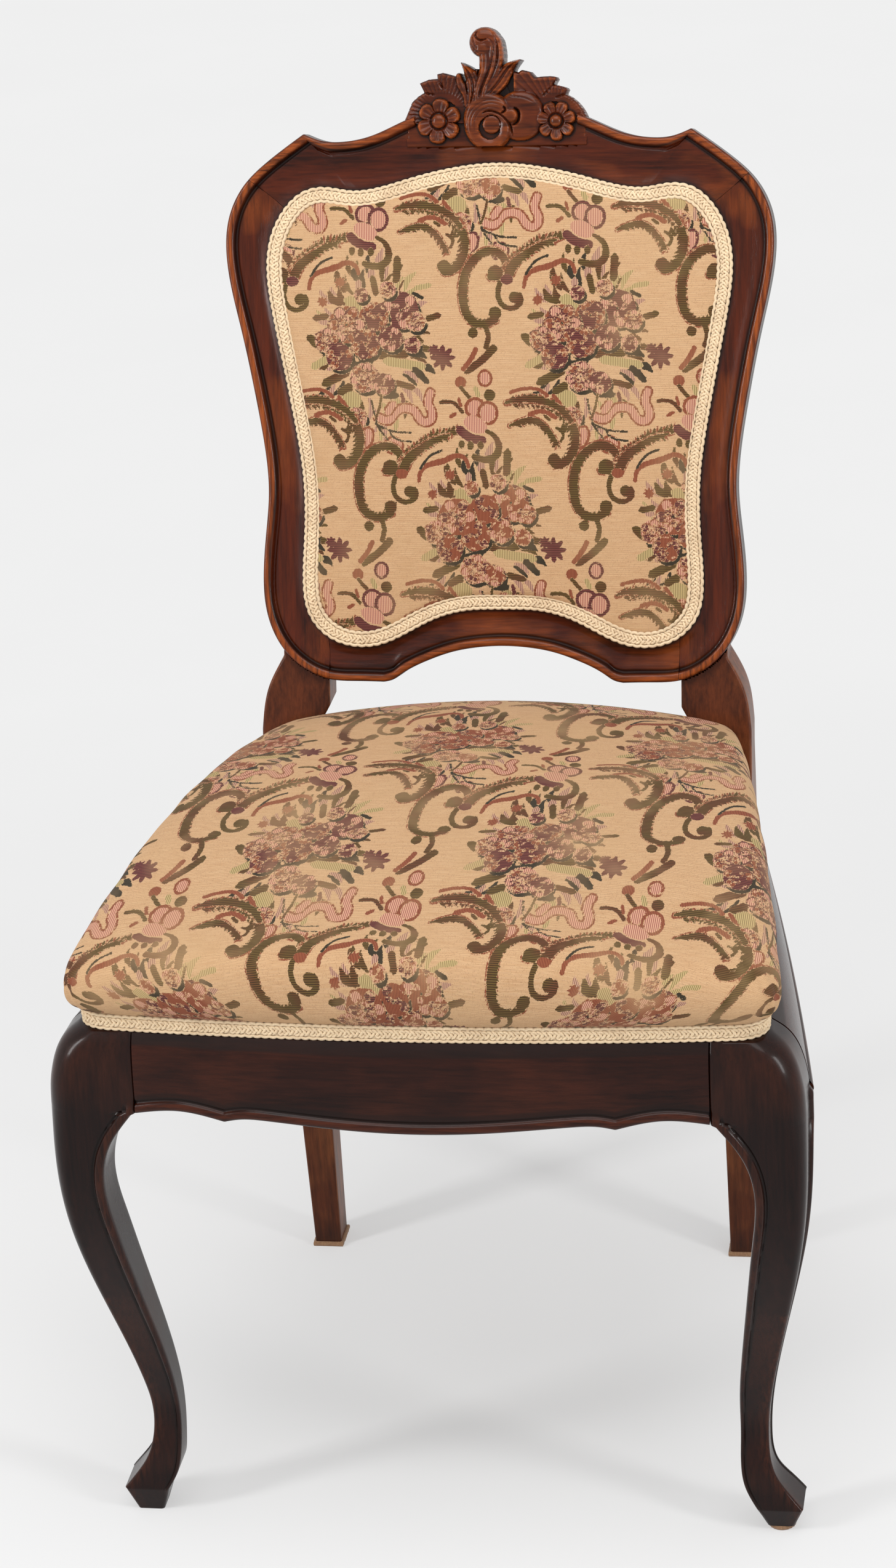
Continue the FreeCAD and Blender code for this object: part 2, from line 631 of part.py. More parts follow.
def build_front_rail():
    """Front rail: bowed in plan, shaped along its lower edge, with a moulded lip and a tenon at each end."""
    floor = middle_z - size("apron_drop") - past
    lip_top = middle_z + size("lip_height") + past
    rail_sections = []
    lip_sections = []
    for share in (-1.0, 0.0, 1.0):
        x = block_x * share
        outer = -knee_y + size("front_bow") * (1 - share ** 2)
        section = rail_section(lambda out, z: Vector(x, -out, z), outer, -braid_y(x), -front_inner_y, floor)
        rail_sections.append(section)
        lip_y = -outer - size("lip_proud")
        corners = [Vector(x, lip_y, floor), Vector(x, lip_y, lip_top), Vector(x, front_inner_y, lip_top),
                   Vector(x, front_inner_y, floor)]
        lip_sections.append(Part.makePolygon(corners + corners[:1]))
    depth = Vector(0, 2 * knee_y, 0)
    under = apron_region(0, floor - past)
    band = apron_region(size("lip_height"), floor - past).cut(under).extrude(depth)
    rail = Part.makeLoft(rail_sections, True, False).cut(under.extrude(depth))
    lip = Part.makeLoft(lip_sections, True, False).common(band)
    top = deck.common(box((-block_x, block_x), (2 * knee_y, front_inner_y), (ledge_z, top_z)))
    right_tenon = tenon(*FRONT_TENON).common(box((block_x, knee_x), (knee_y, block_y), (0, top_z)))
    return rail.fuse([top, lip, right_tenon, mirrored(right_tenon)])


def add_rear_rail():
    """Rear rail between the rear legs: a board, its narrower top that the cover is pulled over, and its tenons."""
    length = "2 * (sizes.rear_half_width - sizes.rear_leg_width)"
    board = block("rear_rail_board", Vector(-rear_inner_x, rear_y, middle_z), Length=length,
                  Width="sizes.rear_rail_thickness", Height="sizes.rail_ledge - sizes.rail_bottom")
    top = block("rear_rail_top", Vector(-rear_inner_x, rear_y, ledge_z), Length=length,
                Width="sizes.rear_rail_thickness - sizes.braid_thickness - sizes.cover_thickness",
                Height="sizes.rail_top - sizes.rail_ledge")
    tenons = []
    low_y, low_z = CROSS_TENON[1][0], middle_z + size("tenon_shoulder")
    for name, low_x in (("right", rear_inner_x), ("left", -rear_inner_x - size("cross_tenon_length"))):
        tenons.append(block("rear_rail_tenon_" + name, Vector(low_x, low_y, low_z), Length="sizes.cross_tenon_length",
                            Width="sizes.tenon_thickness", Height="sizes.tenon_height"))
    return group("Part::MultiFuse", "rear_rail", [board, top] + tenons)


def leg_blank(grow=0.0):
    """Right rear leg and post before its joints: sawn to a front outline and to a side profile."""
    foot_z = size("pad_thickness")
    break_z = lean_z(rear_y, size("post_set_back")) - size("rear_leg_straight")
    bracket = size("post_bracket")
    foot_x = rear_x - size("rear_foot_set_in")
    rise = lap_top - top_z
    outer = [Vector(bracket + (rear_x - bracket) * x_share + grow, 0, top_z + rise * rise_share)
             for x_share, rise_share in POST_OUTER_SHARES]
    inner = [Vector(bracket + (rear_x - bracket) * x_share - grow, 0, top_z + rise * rise_share)
             for x_share, rise_share in POST_INNER_SHARES]
    foot = [Vector(foot_x - size("rear_foot_width") - grow, 0, foot_z), Vector(foot_x + grow, 0, foot_z)]
    outside = Part.makePolygon([foot[1], Vector(rear_x + grow, 0, break_z), outer[0]]).Edges
    outside.append(Part.Arc(*outer[:3]).toShape())
    inside = Part.makePolygon([outer[2], outer[3]] + inner + [Vector(rear_inner_x - grow, 0, middle_z)] + foot).Edges
    front_view = Part.Face(Part.Wire(outside + inside)).extrude(Vector(0, size("frame_height"), 0))
    front, back = size("post_set_back") - grow, size("post_set_back") + size("post_thickness") + grow
    front_y, back_y = rear_y - grow, rear_y + size("rear_leg_depth") + grow
    foot_y = rear_y + size("rear_foot_kick") - grow
    profile = [
        Vector(0, foot_y, foot_z), Vector(0, front_y, break_z), Vector(0, front_y, lean_z(front_y, front)),
        Vector(0, lean_y(lap_top, front), lap_top), Vector(0, lean_y(lap_top, back), lap_top),
        Vector(0, back_y, lean_z(back_y, back)), Vector(0, back_y, break_z),
        Vector(0, foot_y + size("rear_foot_depth") + 2 * grow, foot_z), Vector(0, foot_y, foot_z),
    ]
    side_view = Part.Face(Part.makePolygon(profile)).extrude(Vector(rear_x + past, 0, 0))
    return front_view.common(side_view)


def build_rear_leg():
    """Right rear leg, let in behind the back frame, with its mortises and screw holes."""
    envelope = slab(frame_runs(), rear_z - gap, past)
    envelope.Placement = back_placement
    cuts = [envelope, tenon(*REAR_TENON, grow=gap), tenon(*CROSS_TENON, grow=gap)]
    for place in screw_places:
        hole = screw_shape(place, gap)
        hole.Placement = back_placement
        cuts.append(hole)
    return leg_blank().cut(cuts)


def screw_shape(place, grow=0.0):
    """A countersunk screw driven forward through a post, or with grow its hole."""
    forward = Vector(0, 0, 1)
    start = place - forward * grow
    head = size("screw_head") / 2 + grow
    shank = size("screw_diameter") / 2 + grow
    cone = Part.makeCone(head, shank, head - shank, start, forward)
    return cone.fuse(Part.makeCylinder(shank, size("screw_length") + 2 * grow, start, forward))


def build_frame_ring():
    """The whole back frame before it is cut into its four members: flat face, rebate and raised bead."""
    outline = frame_runs()
    opening = braid_runs(size("rebate_width"))
    plank = slab(outline, rear_z, face_z).cut(slab(opening, rear_z - past, past))
    plank = plank.cut(slab(braid_runs(0), rebate_z, past))
    inner = inset_runs(outline, size("bead_width"))
    bead = slab(outline, face_z, 0).cut(slab(inner, face_z - past, past))
    crown = [edge for edge in bead.Edges if abs(edge.BoundBox.ZMin) < gap and abs(edge.BoundBox.ZMax) < gap]
    return plank.fuse(bead.makeFillet(size("bead_round"), crown))


def crest_point(x_share, rise_share, z=0.0):
    """A point of the carving from shares of its half width and height."""
    foot = size("frame_height") - size("frame_drop") - size("crest_foot")
    return Vector(size("crest_half_width") * x_share, foot + size("crest_height") * rise_share, z)


def build_scroll():
    """The big scroll: a low boss, and on it a round band that winds in over half turns to a disc."""
    band = size("scroll_band") / 2
    outer = size("scroll_radius") - band
    axis = Vector(0, 0, 1)
    hub = crest_point(*SCROLL_PLACE_SHARES)
    start = hub - Vector(outer, 0, 0)
    solids = [Part.makeCylinder(size("scroll_radius"), size("crest_ground"), hub, -axis)]
    for share in SCROLL_HALF_TURN_SHARES:
        reach = (hub - start).normalize() * outer * share
        hub = start + reach
        ring = Part.Face(Part.Wire(Part.makeCircle(band, start, Vector(0, 1, 0))))
        solids.append(ring.revolve(hub, axis, 180))
        start = hub + reach
    solids.append(Part.makeCylinder(size("scroll_eye"), band, hub, axis))
    return solids


def build_plume():
    """The plume over the scroll: a tapered stem that turns over in a crook."""
    band = size("scroll_band") / 2
    hub = crest_point(*CROOK_PLACE_SHARES)
    reach = Vector(size("scroll_radius") * CROOK_RADIUS_SHARE, 0, 0)
    ring = Part.Face(Part.Wire(Part.makeCircle(band, hub + reach, Vector(0, 1, 0))))
    foot = crest_point(*STEM_FOOT_SHARES)
    stem = foot - (hub + reach)
    taper = Part.makeCone(band, size("scroll_eye"), stem.Length, hub + reach, stem)
    knob = band * CROOK_KNOB_SHARE
    ends = [Part.makeSphere(knob, hub + reach), Part.makeSphere(knob, hub - reach)]
    return [ring.revolve(hub, Vector(0, 0, 1), 180), taper] + ends


def build_rosette(side, petals, radius):
    """A rosette: round petals about a domed button."""
    hub = crest_point(0, ROSETTE_RISE_SHARE, -size("crest_ground"))
    hub.x = side * size("rosette_place")
    petal = radius * PETAL_RADIUS_SHARE
    solids = []
    for index in range(petals):
        angle = math.pi / 2 + 2 * math.pi * index / petals
        place = hub + Vector(math.cos(angle), math.sin(angle), 0) * radius * PETAL_PLACE_SHARE
        solids.append(Part.makeCone(petal, petal * PETAL_PLACE_SHARE, petal / 2, place))
    return solids + [Part.makeSphere(size("button_radius"), hub)]


def build_carving(outline):
    """The carved cresting: leaf fans, plume, big scroll, shell lobe and two rosettes."""
    plate = prism(outline, -size("crest_back"), -size("crest_ground"))
    shell_top = size("shell_radius") * SHELL_TOP_SHARE
    shell_hub = crest_point(*SHELL_PLACE_SHARES, -size("crest_ground"))
    relief = build_scroll() + build_plume()
    relief.append(Part.makeCone(size("shell_radius"), shell_top, size("crest_ground"), shell_hub))
    for side, petals, share in zip((-1, 1), PETALS, PETAL_ROSETTE_SHARES):
        relief += build_rosette(side, petals, size("rosette_radius") * share)
    room = box((-size("frame_half_width"), size("frame_half_width")), (0, 2 * size("frame_height")),
               (-size("crest_back"), past))
    return plate.fuse(relief).common(room)


def crest_outline():
    """Silhouette of the carving: toothed leaf fans, the curled plume between them, and the foot."""
    left, curl, right, foot = [[crest_point(*pair) for pair in shares] for shares in
                               (LEFT_LEAF_SHARES, CURL_SHARES, RIGHT_LEAF_SHARES, CREST_FOOT_SHARES)]
    return Part.Wire(Part.makePolygon(left).Edges + [curve(curl)] + Part.makePolygon(right + foot[1:]).Edges)


def frame_dowels():
    """Places of the right half's dowels as (start, direction): two in the upper joint and two in the lower."""
    outer, inner = half_line(UPPER_JOINT_SHARES)
    line = outer - inner
    across = Vector(-line.y, line.x, 0).normalize()
    half = size("dowel_length") / 2
    depth = Vector(0, 0, (rear_z + rebate_z) / 2)
    heights = half_line([(0, share) for share in LOWER_JOINT_SHARES])
    foot, top = [Vector(size("joint_x"), point.y, 0) for point in heights]
    places = []
    for share in DOWEL_PLACE_SHARES:
        places.append((inner + line * share + depth - across * half, across))
        places.append((foot + (top - foot) * share + depth - Vector(half, 0, 0), Vector(1, 0, 0)))
    return places


def build_back_frame():
    """Crest rail, lower rail and right stile, cut from one ring so that their joints meet."""
    outline = crest_outline()
    ring = build_frame_ring()
    outer, inner = half_line(UPPER_JOINT_SHARES)
    reach = outer - inner
    near, far = inner - reach, outer + reach
    high = Vector(far.x, 2 * size("frame_height"), 0)
    upper = prism(Part.makePolygon([near, far, high, flip(high), flip(far), flip(near), near]), rear_z - past, past)
    joint_x = size("joint_x")
    lower = box((-joint_x, joint_x), (-2 * size("frame_drop"), size("frame_drop")), (rear_z - past, past))
    bores = [screw_shape(place, gap) for place in screw_places]
    for start, direction in frame_dowels():
        length = size("dowel_length") + 2 * gap
        bore = rod(size("dowel_diameter") + 2 * gap, start - direction * gap, direction, length)
        bores += [bore, mirrored(bore)]
    right_zone = box((0, 2 * joint_x), (-2 * size("frame_drop"), 2 * size("frame_height")), (rear_z - past, past))
    stile = ring.cut([upper, lower]).common(right_zone).cut(bores)
    crest = ring.common(upper).cut(prism(outline, -size("crest_ground"), past)).fuse(build_carving(outline)).cut(bores)
    bottom = ring.common(lower).cut(bores)
    return crest, bottom, stile


def cushion(inset):
    """The seat's cushion: it swells over the braid, draws in above and rises to a crown."""
    base = layer_z + inset
    rise = size("cushion_height") - 2 * inset
    half = seat_corners(0)[0].x
    profile = [Vector(-size("cushion_bulge") * share, rise * rise_share) for rise_share, share in CUSHION_SIDE_SHARES]
    profile += [Vector(half * share, rise * rise_share) for rise_share, share in CUSHION_TOP_SHARES]
    steps = curve(profile).discretize(Number=2 * len(profile))
    return Part.makeLoft([seat_wire(inset + step.x, base + step.y) for step in steps], True, True)


def both_posts(grow):
    """The room that the two posts take, grown by a clearance."""
    right = leg_blank(grow)
    return [right, mirrored(right)]


def dome(low, inset, behind):
    """The back's shallow dome inside the braid, set in and set back."""
    radius = size("back_crown_radius") - behind
    ball = Part.makeSphere(radius, Vector(0, middle_v, size("back_crown") - behind - radius))
    return slab(braid_runs(size("braid_width") + inset), low, past).common(ball)


def add_dowels():
    """Dowels of the back frame, as a set."""
    pins = []
    for start, direction in frame_dowels():
        for side, point, along in (("right", start, direction), ("left", flip(start), flip(direction))):
            pin = doc.addObject("Part::Cylinder", f"dowel_{side}_{len(pins)}")
            pin.setExpression("Radius", "sizes.dowel_diameter / 2")
            pin.setExpression("Height", "sizes.dowel_length")
            pin.Placement = FreeCAD.Placement(point, Rotation(Vector(0, 0, 1), along))
            pins.append(pin)
    group("Part::Compound", "back_frame_dowels", pins, back_placement)


def add_glue_blocks():
    """Glue blocks in the four inner corners of the seat rails."""
    leg = size("block_leg")
    toe = leg * BLOCK_TOE_SHARE
    near_y, side_y = front_inner_y + gap, block_y + leg
    front = [(block_x - leg, near_y), (block_x - gap, near_y), (block_x - gap, block_y + gap),
             (side_inner_x(block_y) - gap, block_y + gap), (side_inner_x(side_y) - gap, side_y),
             (side_inner_x(side_y) - toe, side_y), (block_x - leg, near_y + toe)]
    far_y, side_y = rear_y - gap, rear_y - leg
    corner_x = side_inner_x(rear_y) - gap
    rear = [(corner_x, far_y), (corner_x - leg, far_y), (corner_x - leg, far_y - toe),
            (side_inner_x(side_y) - toe, side_y), (side_inner_x(side_y) - gap, side_y)]
    place = FreeCAD.Placement(Vector(0, 0, ledge_z - size("block_height")), Rotation())
    for name, points in (("front", front), ("rear", rear)):
        pad_body(f"{name}_glue_block_right", points, "block_height", place)
        pad_body(f"{name}_glue_block_left", [(-x, y) for x, y in points], "block_height", place)


def add_seat():
    """Webbing, hessian, stuffing, woven cover and braid of the seat."""
    posts = both_posts(gap)
    inset = wood_inset + size("tack_margin")
    half = size("web_width") / 2
    web = []
    for index in range(WEB_COUNT):
        share = (index + 0.5) / WEB_COUNT
        x = side_inner_x(block_y) * (2 * share - 1)
        y = front_inner_y + (rear_y - front_inner_y) * share
        web.append(box((-knee_x, knee_x), (y - half, y + half), (top_z, top_z + size("web_thickness"))))
        web.append(box((x - half, x + half), (2 * knee_y, -knee_y), (top_z, top_z + size("web_thickness"))))
    area = prism(seat_wire(inset), top_z, layer_z)
    add("seat_webbing", web[0].fuse(web[1:]).common(area).cut(posts))
    add("seat_hessian", prism(seat_wire(inset), layer_z - size("hessian_thickness"), layer_z).cut(posts))
    cover = size("cover_thickness")
    cavity = cushion(cover).cut(both_posts(gap + cover))
    core = prism(seat_wire(wood_inset), ledge_z - past, layer_z + cover)
    skirt = prism(seat_wire(cover_inset), ledge_z, layer_z)
    add("seat_cover", cushion(0).fuse(skirt).cut([cavity, core]).cut(posts))
    filling = cushion(cover + gap).fuse(prism(seat_wire(wood_inset + gap), layer_z, layer_z + cover + 2 * gap))
    add("seat_stuffing", filling.cut(both_posts(2 * gap + cover)))
    ring = prism(seat_wire(0), ledge_z, ledge_z + size("braid_width"))
    ring = ring.cut(prism(seat_wire(cover_inset - gap), ledge_z - past, layer_z)).cut(posts)
    front, rear = sorted(ring.Solids, key=lambda solid: -solid.Volume)[:2]
    add("seat_braid", front)
    add("seat_rear_braid", rear)


def add_back():
    """Webbing, hessian, stuffing, woven cover, braid and rear lining of the back."""
    cover = size("cover_thickness")
    half = size("back_web_width") / 2
    web_top = rebate_z + size("web_thickness")
    hessian_top = web_top + size("hessian_thickness")
    web = []
    for index in range(BACK_WEB_COUNT):
        share = (index + 0.5) / BACK_WEB_COUNT
        x = size("joint_x") * (2 * share - 1)
        y = braid_low + (braid_high - braid_low) * share
        wide, tall = size("frame_half_width"), size("frame_height")
        web.append(box((-wide, wide), (y - half, y + half), (rebate_z, web_top)))
        web.append(box((x - half, x + half), (-tall, 2 * tall), (rebate_z, web_top)))
    area = slab(braid_runs(size("tack_margin")), rebate_z, hessian_top)
    add("back_webbing", web[0].fuse(web[1:]).common(area), back_placement)
    add("back_hessian", slab(braid_runs(size("tack_margin")), web_top, hessian_top), back_placement)
    flange = slab(braid_runs(gap), hessian_top, hessian_top + cover)
    add("back_cover", flange.fuse(dome(hessian_top, gap, 0)).cut(dome(hessian_top - past, gap + cover, cover)),
        back_placement)
    add("back_stuffing", dome(hessian_top, 2 * gap + cover, cover + gap), back_placement)
    braid = slab(braid_runs(0), hessian_top + cover, hessian_top + cover + size("braid_thickness"))
    add("back_braid", braid.cut(slab(braid_runs(size("braid_width")), rebate_z, past)), back_placement)
    lining = slab(braid_runs(size("rebate_width") - size("lining_margin")), rear_z - size("hessian_thickness"), rear_z)
    lining.Placement = back_placement
    add("back_lining", lining.cut(both_posts(gap)))


def add_foot_pads():
    """Felt pads under three of the feet: a round one in front and square ones behind."""
    pad = doc.addObject("Part::Cylinder", "front_right_pad")
    pad.Label = "front_right_pad"
    pad.setExpression("Radius", "sizes.front_pad_radius")
    pad.setExpression("Height", "sizes.pad_thickness")
    foot_x = knee_x - size("leg_sweep") * TOE_SWEEP_SHARE - size("toe_width") / 2
    foot_y = knee_y + size("leg_set_back") * TOE_SET_BACK_SHARE + size("toe_width") / 2
    pad.Placement.Base = Vector(foot_x, foot_y, 0)
    made.append(pad)
    margin = size("rear_pad_margin")
    low_x = rear_x - size("rear_foot_set_in") - size("rear_foot_width") - margin
    high_x = rear_x - size("rear_foot_set_in") + margin
    for label, x in (("rear_right_pad", low_x), ("rear_left_pad", -high_x)):
        corner = Vector(x, rear_y + size("rear_foot_kick") - margin, 0)
        piece = block(label, corner, Length="sizes.rear_foot_width + 2 * sizes.rear_pad_margin",
                      Width="sizes.rear_foot_depth + 2 * sizes.rear_pad_margin", Height="sizes.pad_thickness")
        piece.Label = label
        made.append(piece)


layer_z = top_z + size("web_thickness") + size("hessian_thickness")
braid_low, braid_high = [point.y for point in half_line((BRAID_LINE_SHARES[-1], BRAID_LINE_SHARES[0]))]
middle_v = (braid_low + braid_high) / 2
post_mid_share = (POST_OUTER_SHARES[-1][0] + POST_INNER_SHARES[0][0]) / 2
screw_x = size("post_bracket") + (rear_x - size("post_bracket")) * post_mid_share
screw_z = -size("post_set_back") - size("post_thickness")
screw_places = [Vector(screw_x, size("post_lap") * share - size("frame_drop"), screw_z) for share in POST_SCREW_SHARES]

front_leg = build_front_leg(size("pad_thickness"))
add("front_leg_right", front_leg)
add("front_leg_left", mirrored(build_front_leg(0)))
rear_leg = build_rear_leg()
add("rear_leg_right", rear_leg)
add("rear_leg_left", mirrored(rear_leg))
add("front_rail", build_front_rail())
side_rail = build_side_rail()
add("side_rail_right", side_rail)
add("side_rail_left", mirrored(side_rail))
add_rear_rail()
add_glue_blocks()
crest, bottom, stile = build_back_frame()
add("crest_rail", crest, back_placement)
add("back_lower_rail", bottom, back_placement)
add("back_stile_right", stile, back_placement)
add("back_stile_left", mirrored(stile), back_placement)
add_dowels()
screws = [screw_shape(place) for place in screw_places]
add("post_screws", Part.makeCompound(screws + [mirrored(screw) for screw in screws]), back_placement)
add_seat()
add_back()
add_foot_pads()
doc.recompute()

whole = FreeCAD.BoundBox()
for piece in made:
    whole.add(piece.Shape.optimalBoundingBox())
for piece in made:
    piece.Placement.Base = piece.Placement.Base - Vector(0, whole.Center.y, 0)
doc.recompute()

for piece in doc.Objects:
    if "Invalid" in piece.State or "Error" in piece.State:
        raise RuntimeError(f"{piece.Name} failed: {piece.State}")
for piece in made:
    if piece.Shape.isNull() or not piece.Shape.isValid():
        raise RuntimeError(f"{piece.Label} has no valid shape")
    print(piece.Label, len(piece.Shape.Solids), round(piece.Shape.Volume), piece.Shape.BoundBox)

os.makedirs("parts", exist_ok=True)
for piece in made:
    piece.Shape.exportStep(f"parts/{piece.Label}.step")
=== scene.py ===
"""Upholstered side chair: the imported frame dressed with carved, polished wood and tapestry upholstery.

Shapes are worked out in millimetres about the seat's own centre line: X across the chair, Y from front to
back, Z up from the floor. make_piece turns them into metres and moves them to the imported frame's origin. The
back has its own plane: x across, v up along the lean, w out towards the sitter.
"""

import math

import bpy
import numpy as np
from mathutils import Matrix, Vector


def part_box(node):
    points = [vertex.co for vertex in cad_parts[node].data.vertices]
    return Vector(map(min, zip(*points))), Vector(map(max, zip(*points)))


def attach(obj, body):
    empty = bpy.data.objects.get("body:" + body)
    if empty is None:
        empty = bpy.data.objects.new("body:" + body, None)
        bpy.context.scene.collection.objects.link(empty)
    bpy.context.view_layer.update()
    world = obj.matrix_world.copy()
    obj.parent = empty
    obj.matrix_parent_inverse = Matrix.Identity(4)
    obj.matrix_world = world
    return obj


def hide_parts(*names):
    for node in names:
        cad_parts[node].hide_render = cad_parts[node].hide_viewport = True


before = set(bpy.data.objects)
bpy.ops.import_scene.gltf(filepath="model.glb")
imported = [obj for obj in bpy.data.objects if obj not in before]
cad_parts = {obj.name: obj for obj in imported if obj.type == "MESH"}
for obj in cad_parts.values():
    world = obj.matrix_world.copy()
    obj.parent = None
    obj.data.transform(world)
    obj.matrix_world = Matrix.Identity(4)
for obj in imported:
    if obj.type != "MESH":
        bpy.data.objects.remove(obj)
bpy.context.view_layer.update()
MM = 0.001

# Driving sizes of the chair in millimetres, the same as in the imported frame.
REAR_REACH = 188
KNEE_REACH = 255
KNEE_BLOCK = 65.5
KNEE_BLOCK_DEPTH = 51
LEG_SWEEP = 38
LEG_SET_BACK = 62
TOE_HEIGHT = 22
TOE_WIDTH = 34
FOOT_BOTTOM_WIDTH = 20
PAD_THICKNESS = 4
RAIL_BOTTOM = 369.5
RAIL_LEDGE = 428
RAIL_TOP = 440
SIDE_INSET = 22
REAR_SIDE_INSET = 20
FRONT_INSET = 14
FRONT_BOW = 12
SIDE_BOW = 3
RAIL_CORE = 12
RAIL_REAR_PROUD = 6
APRON_DROP = 6
APRON_CUSP = 138
APRON_ARCH = 4
LIP_HEIGHT = 7
LIP_PROUD = 2.5
REAR_RAIL_THICKNESS = 24
REAR_HALF_WIDTH = 195
REAR_LEG_WIDTH = 33
REAR_LEG_DEPTH = 38
REAR_FOOT_WIDTH = 22
REAR_FOOT_DEPTH = 28
REAR_FOOT_SET_IN = 9
REAR_FOOT_KICK = 12
REAR_LEG_STRAIGHT = 30
POST_THICKNESS = 30
POST_SET_BACK = 7
POST_BRACKET = 140
BACK_RAKE = math.radians(15.6)
BACK_HEIGHT = 560
BACK_REACH = 217
FRAME_HALF_WIDTH = 216
FRAME_HEIGHT = 428
FRAME_DROP = 51.5
FRAME_THICKNESS = 24
BEAD_PROUD = 5
REBATE_DEPTH = 3
REBATE_WIDTH = 10
JOINT_X = 139.5
CREST_HALF_WIDTH = 72
CREST_FOOT = FRAME_HEIGHT - FRAME_DROP - 16.5
CREST_BACK = 22
BRAID_WIDTH = 13
BRAID_THICKNESS = 3
COVER = 1.5
SEAT_CORNER = 26
SEAT_REAR_CORNER = 14

KNEE_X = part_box("front_leg_right")[1].x / MM
KNEE_Y = -KNEE_REACH
BLOCK_X = KNEE_X - KNEE_BLOCK
BLOCK_Y = KNEE_Y + KNEE_BLOCK_DEPTH
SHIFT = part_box("rear_rail")[0].y / MM - REAR_REACH
FACE_W = -BEAD_PROUD
REBATE_W = FACE_W - REBATE_DEPTH
REAR_W = -FRAME_THICKNESS
FRONT_INNER_Y = KNEE_Y + FRONT_INSET + BRAID_THICKNESS + COVER + RAIL_CORE

# Share of a front leg's height up to the ledge, of its sweep, set-back, block width and knee rounding.
LEG_STATION_SHARES = np.array((
    (0.080, 0.62, 0.86, 0.47, 0.05), (0.117, 0.88, 0.88, 0.38, 0.05), (0.175, 1.00, 1.00, 0.32, 0.06),
    (0.257, 0.93, 0.93, 0.35, 0.08), (0.374, 0.69, 0.69, 0.42, 0.12), (0.502, 0.385, 0.385, 0.495, 0.22),
    (0.631, 0.125, 0.125, 0.54, 0.40), (0.748, 0.01, 0.01, 0.57, 0.65), (0.806, 0.00, 0.00, 0.70, 0.80),
))
TOE_SWEEP_SHARE = 0.36
TOE_SET_BACK_SHARE = 0.83
KNEE_ROUND_SHARE = 0.30
SHOULDER_SHARES = np.array((
    (0.0, 0.0), (0.30, 0.05), (0.475, 0.13), (0.633, 0.24), (0.766, 0.39), (0.884, 0.62), (1.0, 1.0),
))
APRON_SHARES = ((0.92, 0.1, 0.0), (0.78, 0.1, 0.0), (0.42, 0.0, 0.62), (0.0, 0.0, 1.0))
POST_OUTER_SHARES = ((1.0, 0.208), (0.90, 0.423), (0.664, 0.584), (0.655, 1.0))
POST_INNER_SHARES = ((0.18, 1.0), (0.18, 0.705), (0.0, 0.604), (0.0, 0.332), (0.164, 0.228), (0.40, 0.08))
ARCH_SHARES = (
    (0.0, 0.067), (0.097, 0.064), (0.184, 0.056), (0.271, 0.041), (0.374, 0.0145), (0.407, 0.004),
    (0.44, 0.0),
)
SIDE_SHARES = (
    (0.44, 0.0), (0.532, 0.001), (0.648, 0.005), (0.722, 0.020), (0.801, 0.053), (0.847, 0.090),
    (0.875, 0.137), (0.882, 0.190), (0.867, 0.284), (0.856, 0.349), (0.868, 0.436), (0.891, 0.508),
    (0.947, 0.651), (0.992, 0.770), (0.983, 0.849), (0.918, 0.913), (0.844, 0.948), (0.701, 1.0),
)
TOP_SHARES = (
    (0.701, 1.0), (0.630, 0.987), (0.5625, 0.985), (0.454, 0.995), (0.333, 1.021), (0.185, 1.045),
    (0.0, 1.055),
)
BRAID_LINE_SHARES = (
    (0.0, 0.944), (0.176, 0.935), (0.306, 0.920), (0.440, 0.902), (0.532, 0.898), (0.632, 0.905),
    (0.704, 0.898), (0.785, 0.862), (0.829, 0.819), (0.847, 0.766), (0.831, 0.681), (0.792, 0.578),
    (0.755, 0.478), (0.728, 0.382), (0.727, 0.272), (0.736, 0.186), (0.715, 0.123), (0.644, 0.082),
    (0.549, 0.065), (0.454, 0.068), (0.347, 0.091), (0.241, 0.1175), (0.125, 0.132), (0.0, 0.134),
)
UPPER_JOINT_SHARES = ((0.898, 0.917), (0.782, 0.869))
BACK_CENTRE = np.array((0.0, 190.0))
SIDES = (("right", False), ("left", True))


def cubic(knots, values, places):
    """Natural cubic spline through values at knots, read at places, from one linear system for its bends."""
    knots, values, places = (np.asarray(item, float) for item in (knots, values, places))
    steps = np.diff(knots)
    inner = np.arange(1, len(knots) - 1)
    matrix = np.eye(len(knots))
    matrix[inner, inner - 1] = steps[:-1]
    matrix[inner, inner] = 2 * (steps[:-1] + steps[1:])
    matrix[inner, inner + 1] = steps[1:]
    right = np.zeros_like(values)
    right[1:-1] = 6 * np.diff(np.diff(values, axis=0) / steps[:, None], axis=0)
    bends = np.linalg.solve(matrix, right)
    cell = np.clip(np.searchsorted(knots, places) - 1, 0, len(steps) - 1)
    step = steps[cell][:, None]
    ahead = (knots[cell + 1] - places)[:, None]
    behind = (places - knots[cell])[:, None]
    return ((bends[cell] * ahead ** 3 + bends[cell + 1] * behind ** 3) / (6 * step)
            + (values[cell] / step - bends[cell] * step / 6) * ahead
            + (values[cell + 1] / step - bends[cell + 1] * step / 6) * behind)


def lengths(points):
    """Distance along a line of points, from its first one."""
    return np.concatenate([[0], np.cumsum(np.linalg.norm(np.diff(points, axis=0), axis=1))])


def spline(points, count):
    """Even points on a cubic spline through the given ones, over the lengths of their chords."""
    points = np.asarray(points, float)
    knots = lengths(points)
    dense = cubic(knots, points, np.linspace(0, knots[-1], 8 * count))
    return along(dense, np.linspace(0, 1, count))


def along(points, shares):
    """Points at the given shares of a line's length."""
    run = lengths(points)
    places = np.asarray(shares) * run[-1]
    return np.stack([np.interp(places, run, points[:, axis]) for axis in range(points.shape[1])], 1)


def blend(low, high, value):
    """Smooth step from 0 at low to 1 at high."""
    share = np.clip((value - low) / (high - low), 0, 1)
    return share * share * (3 - 2 * share)


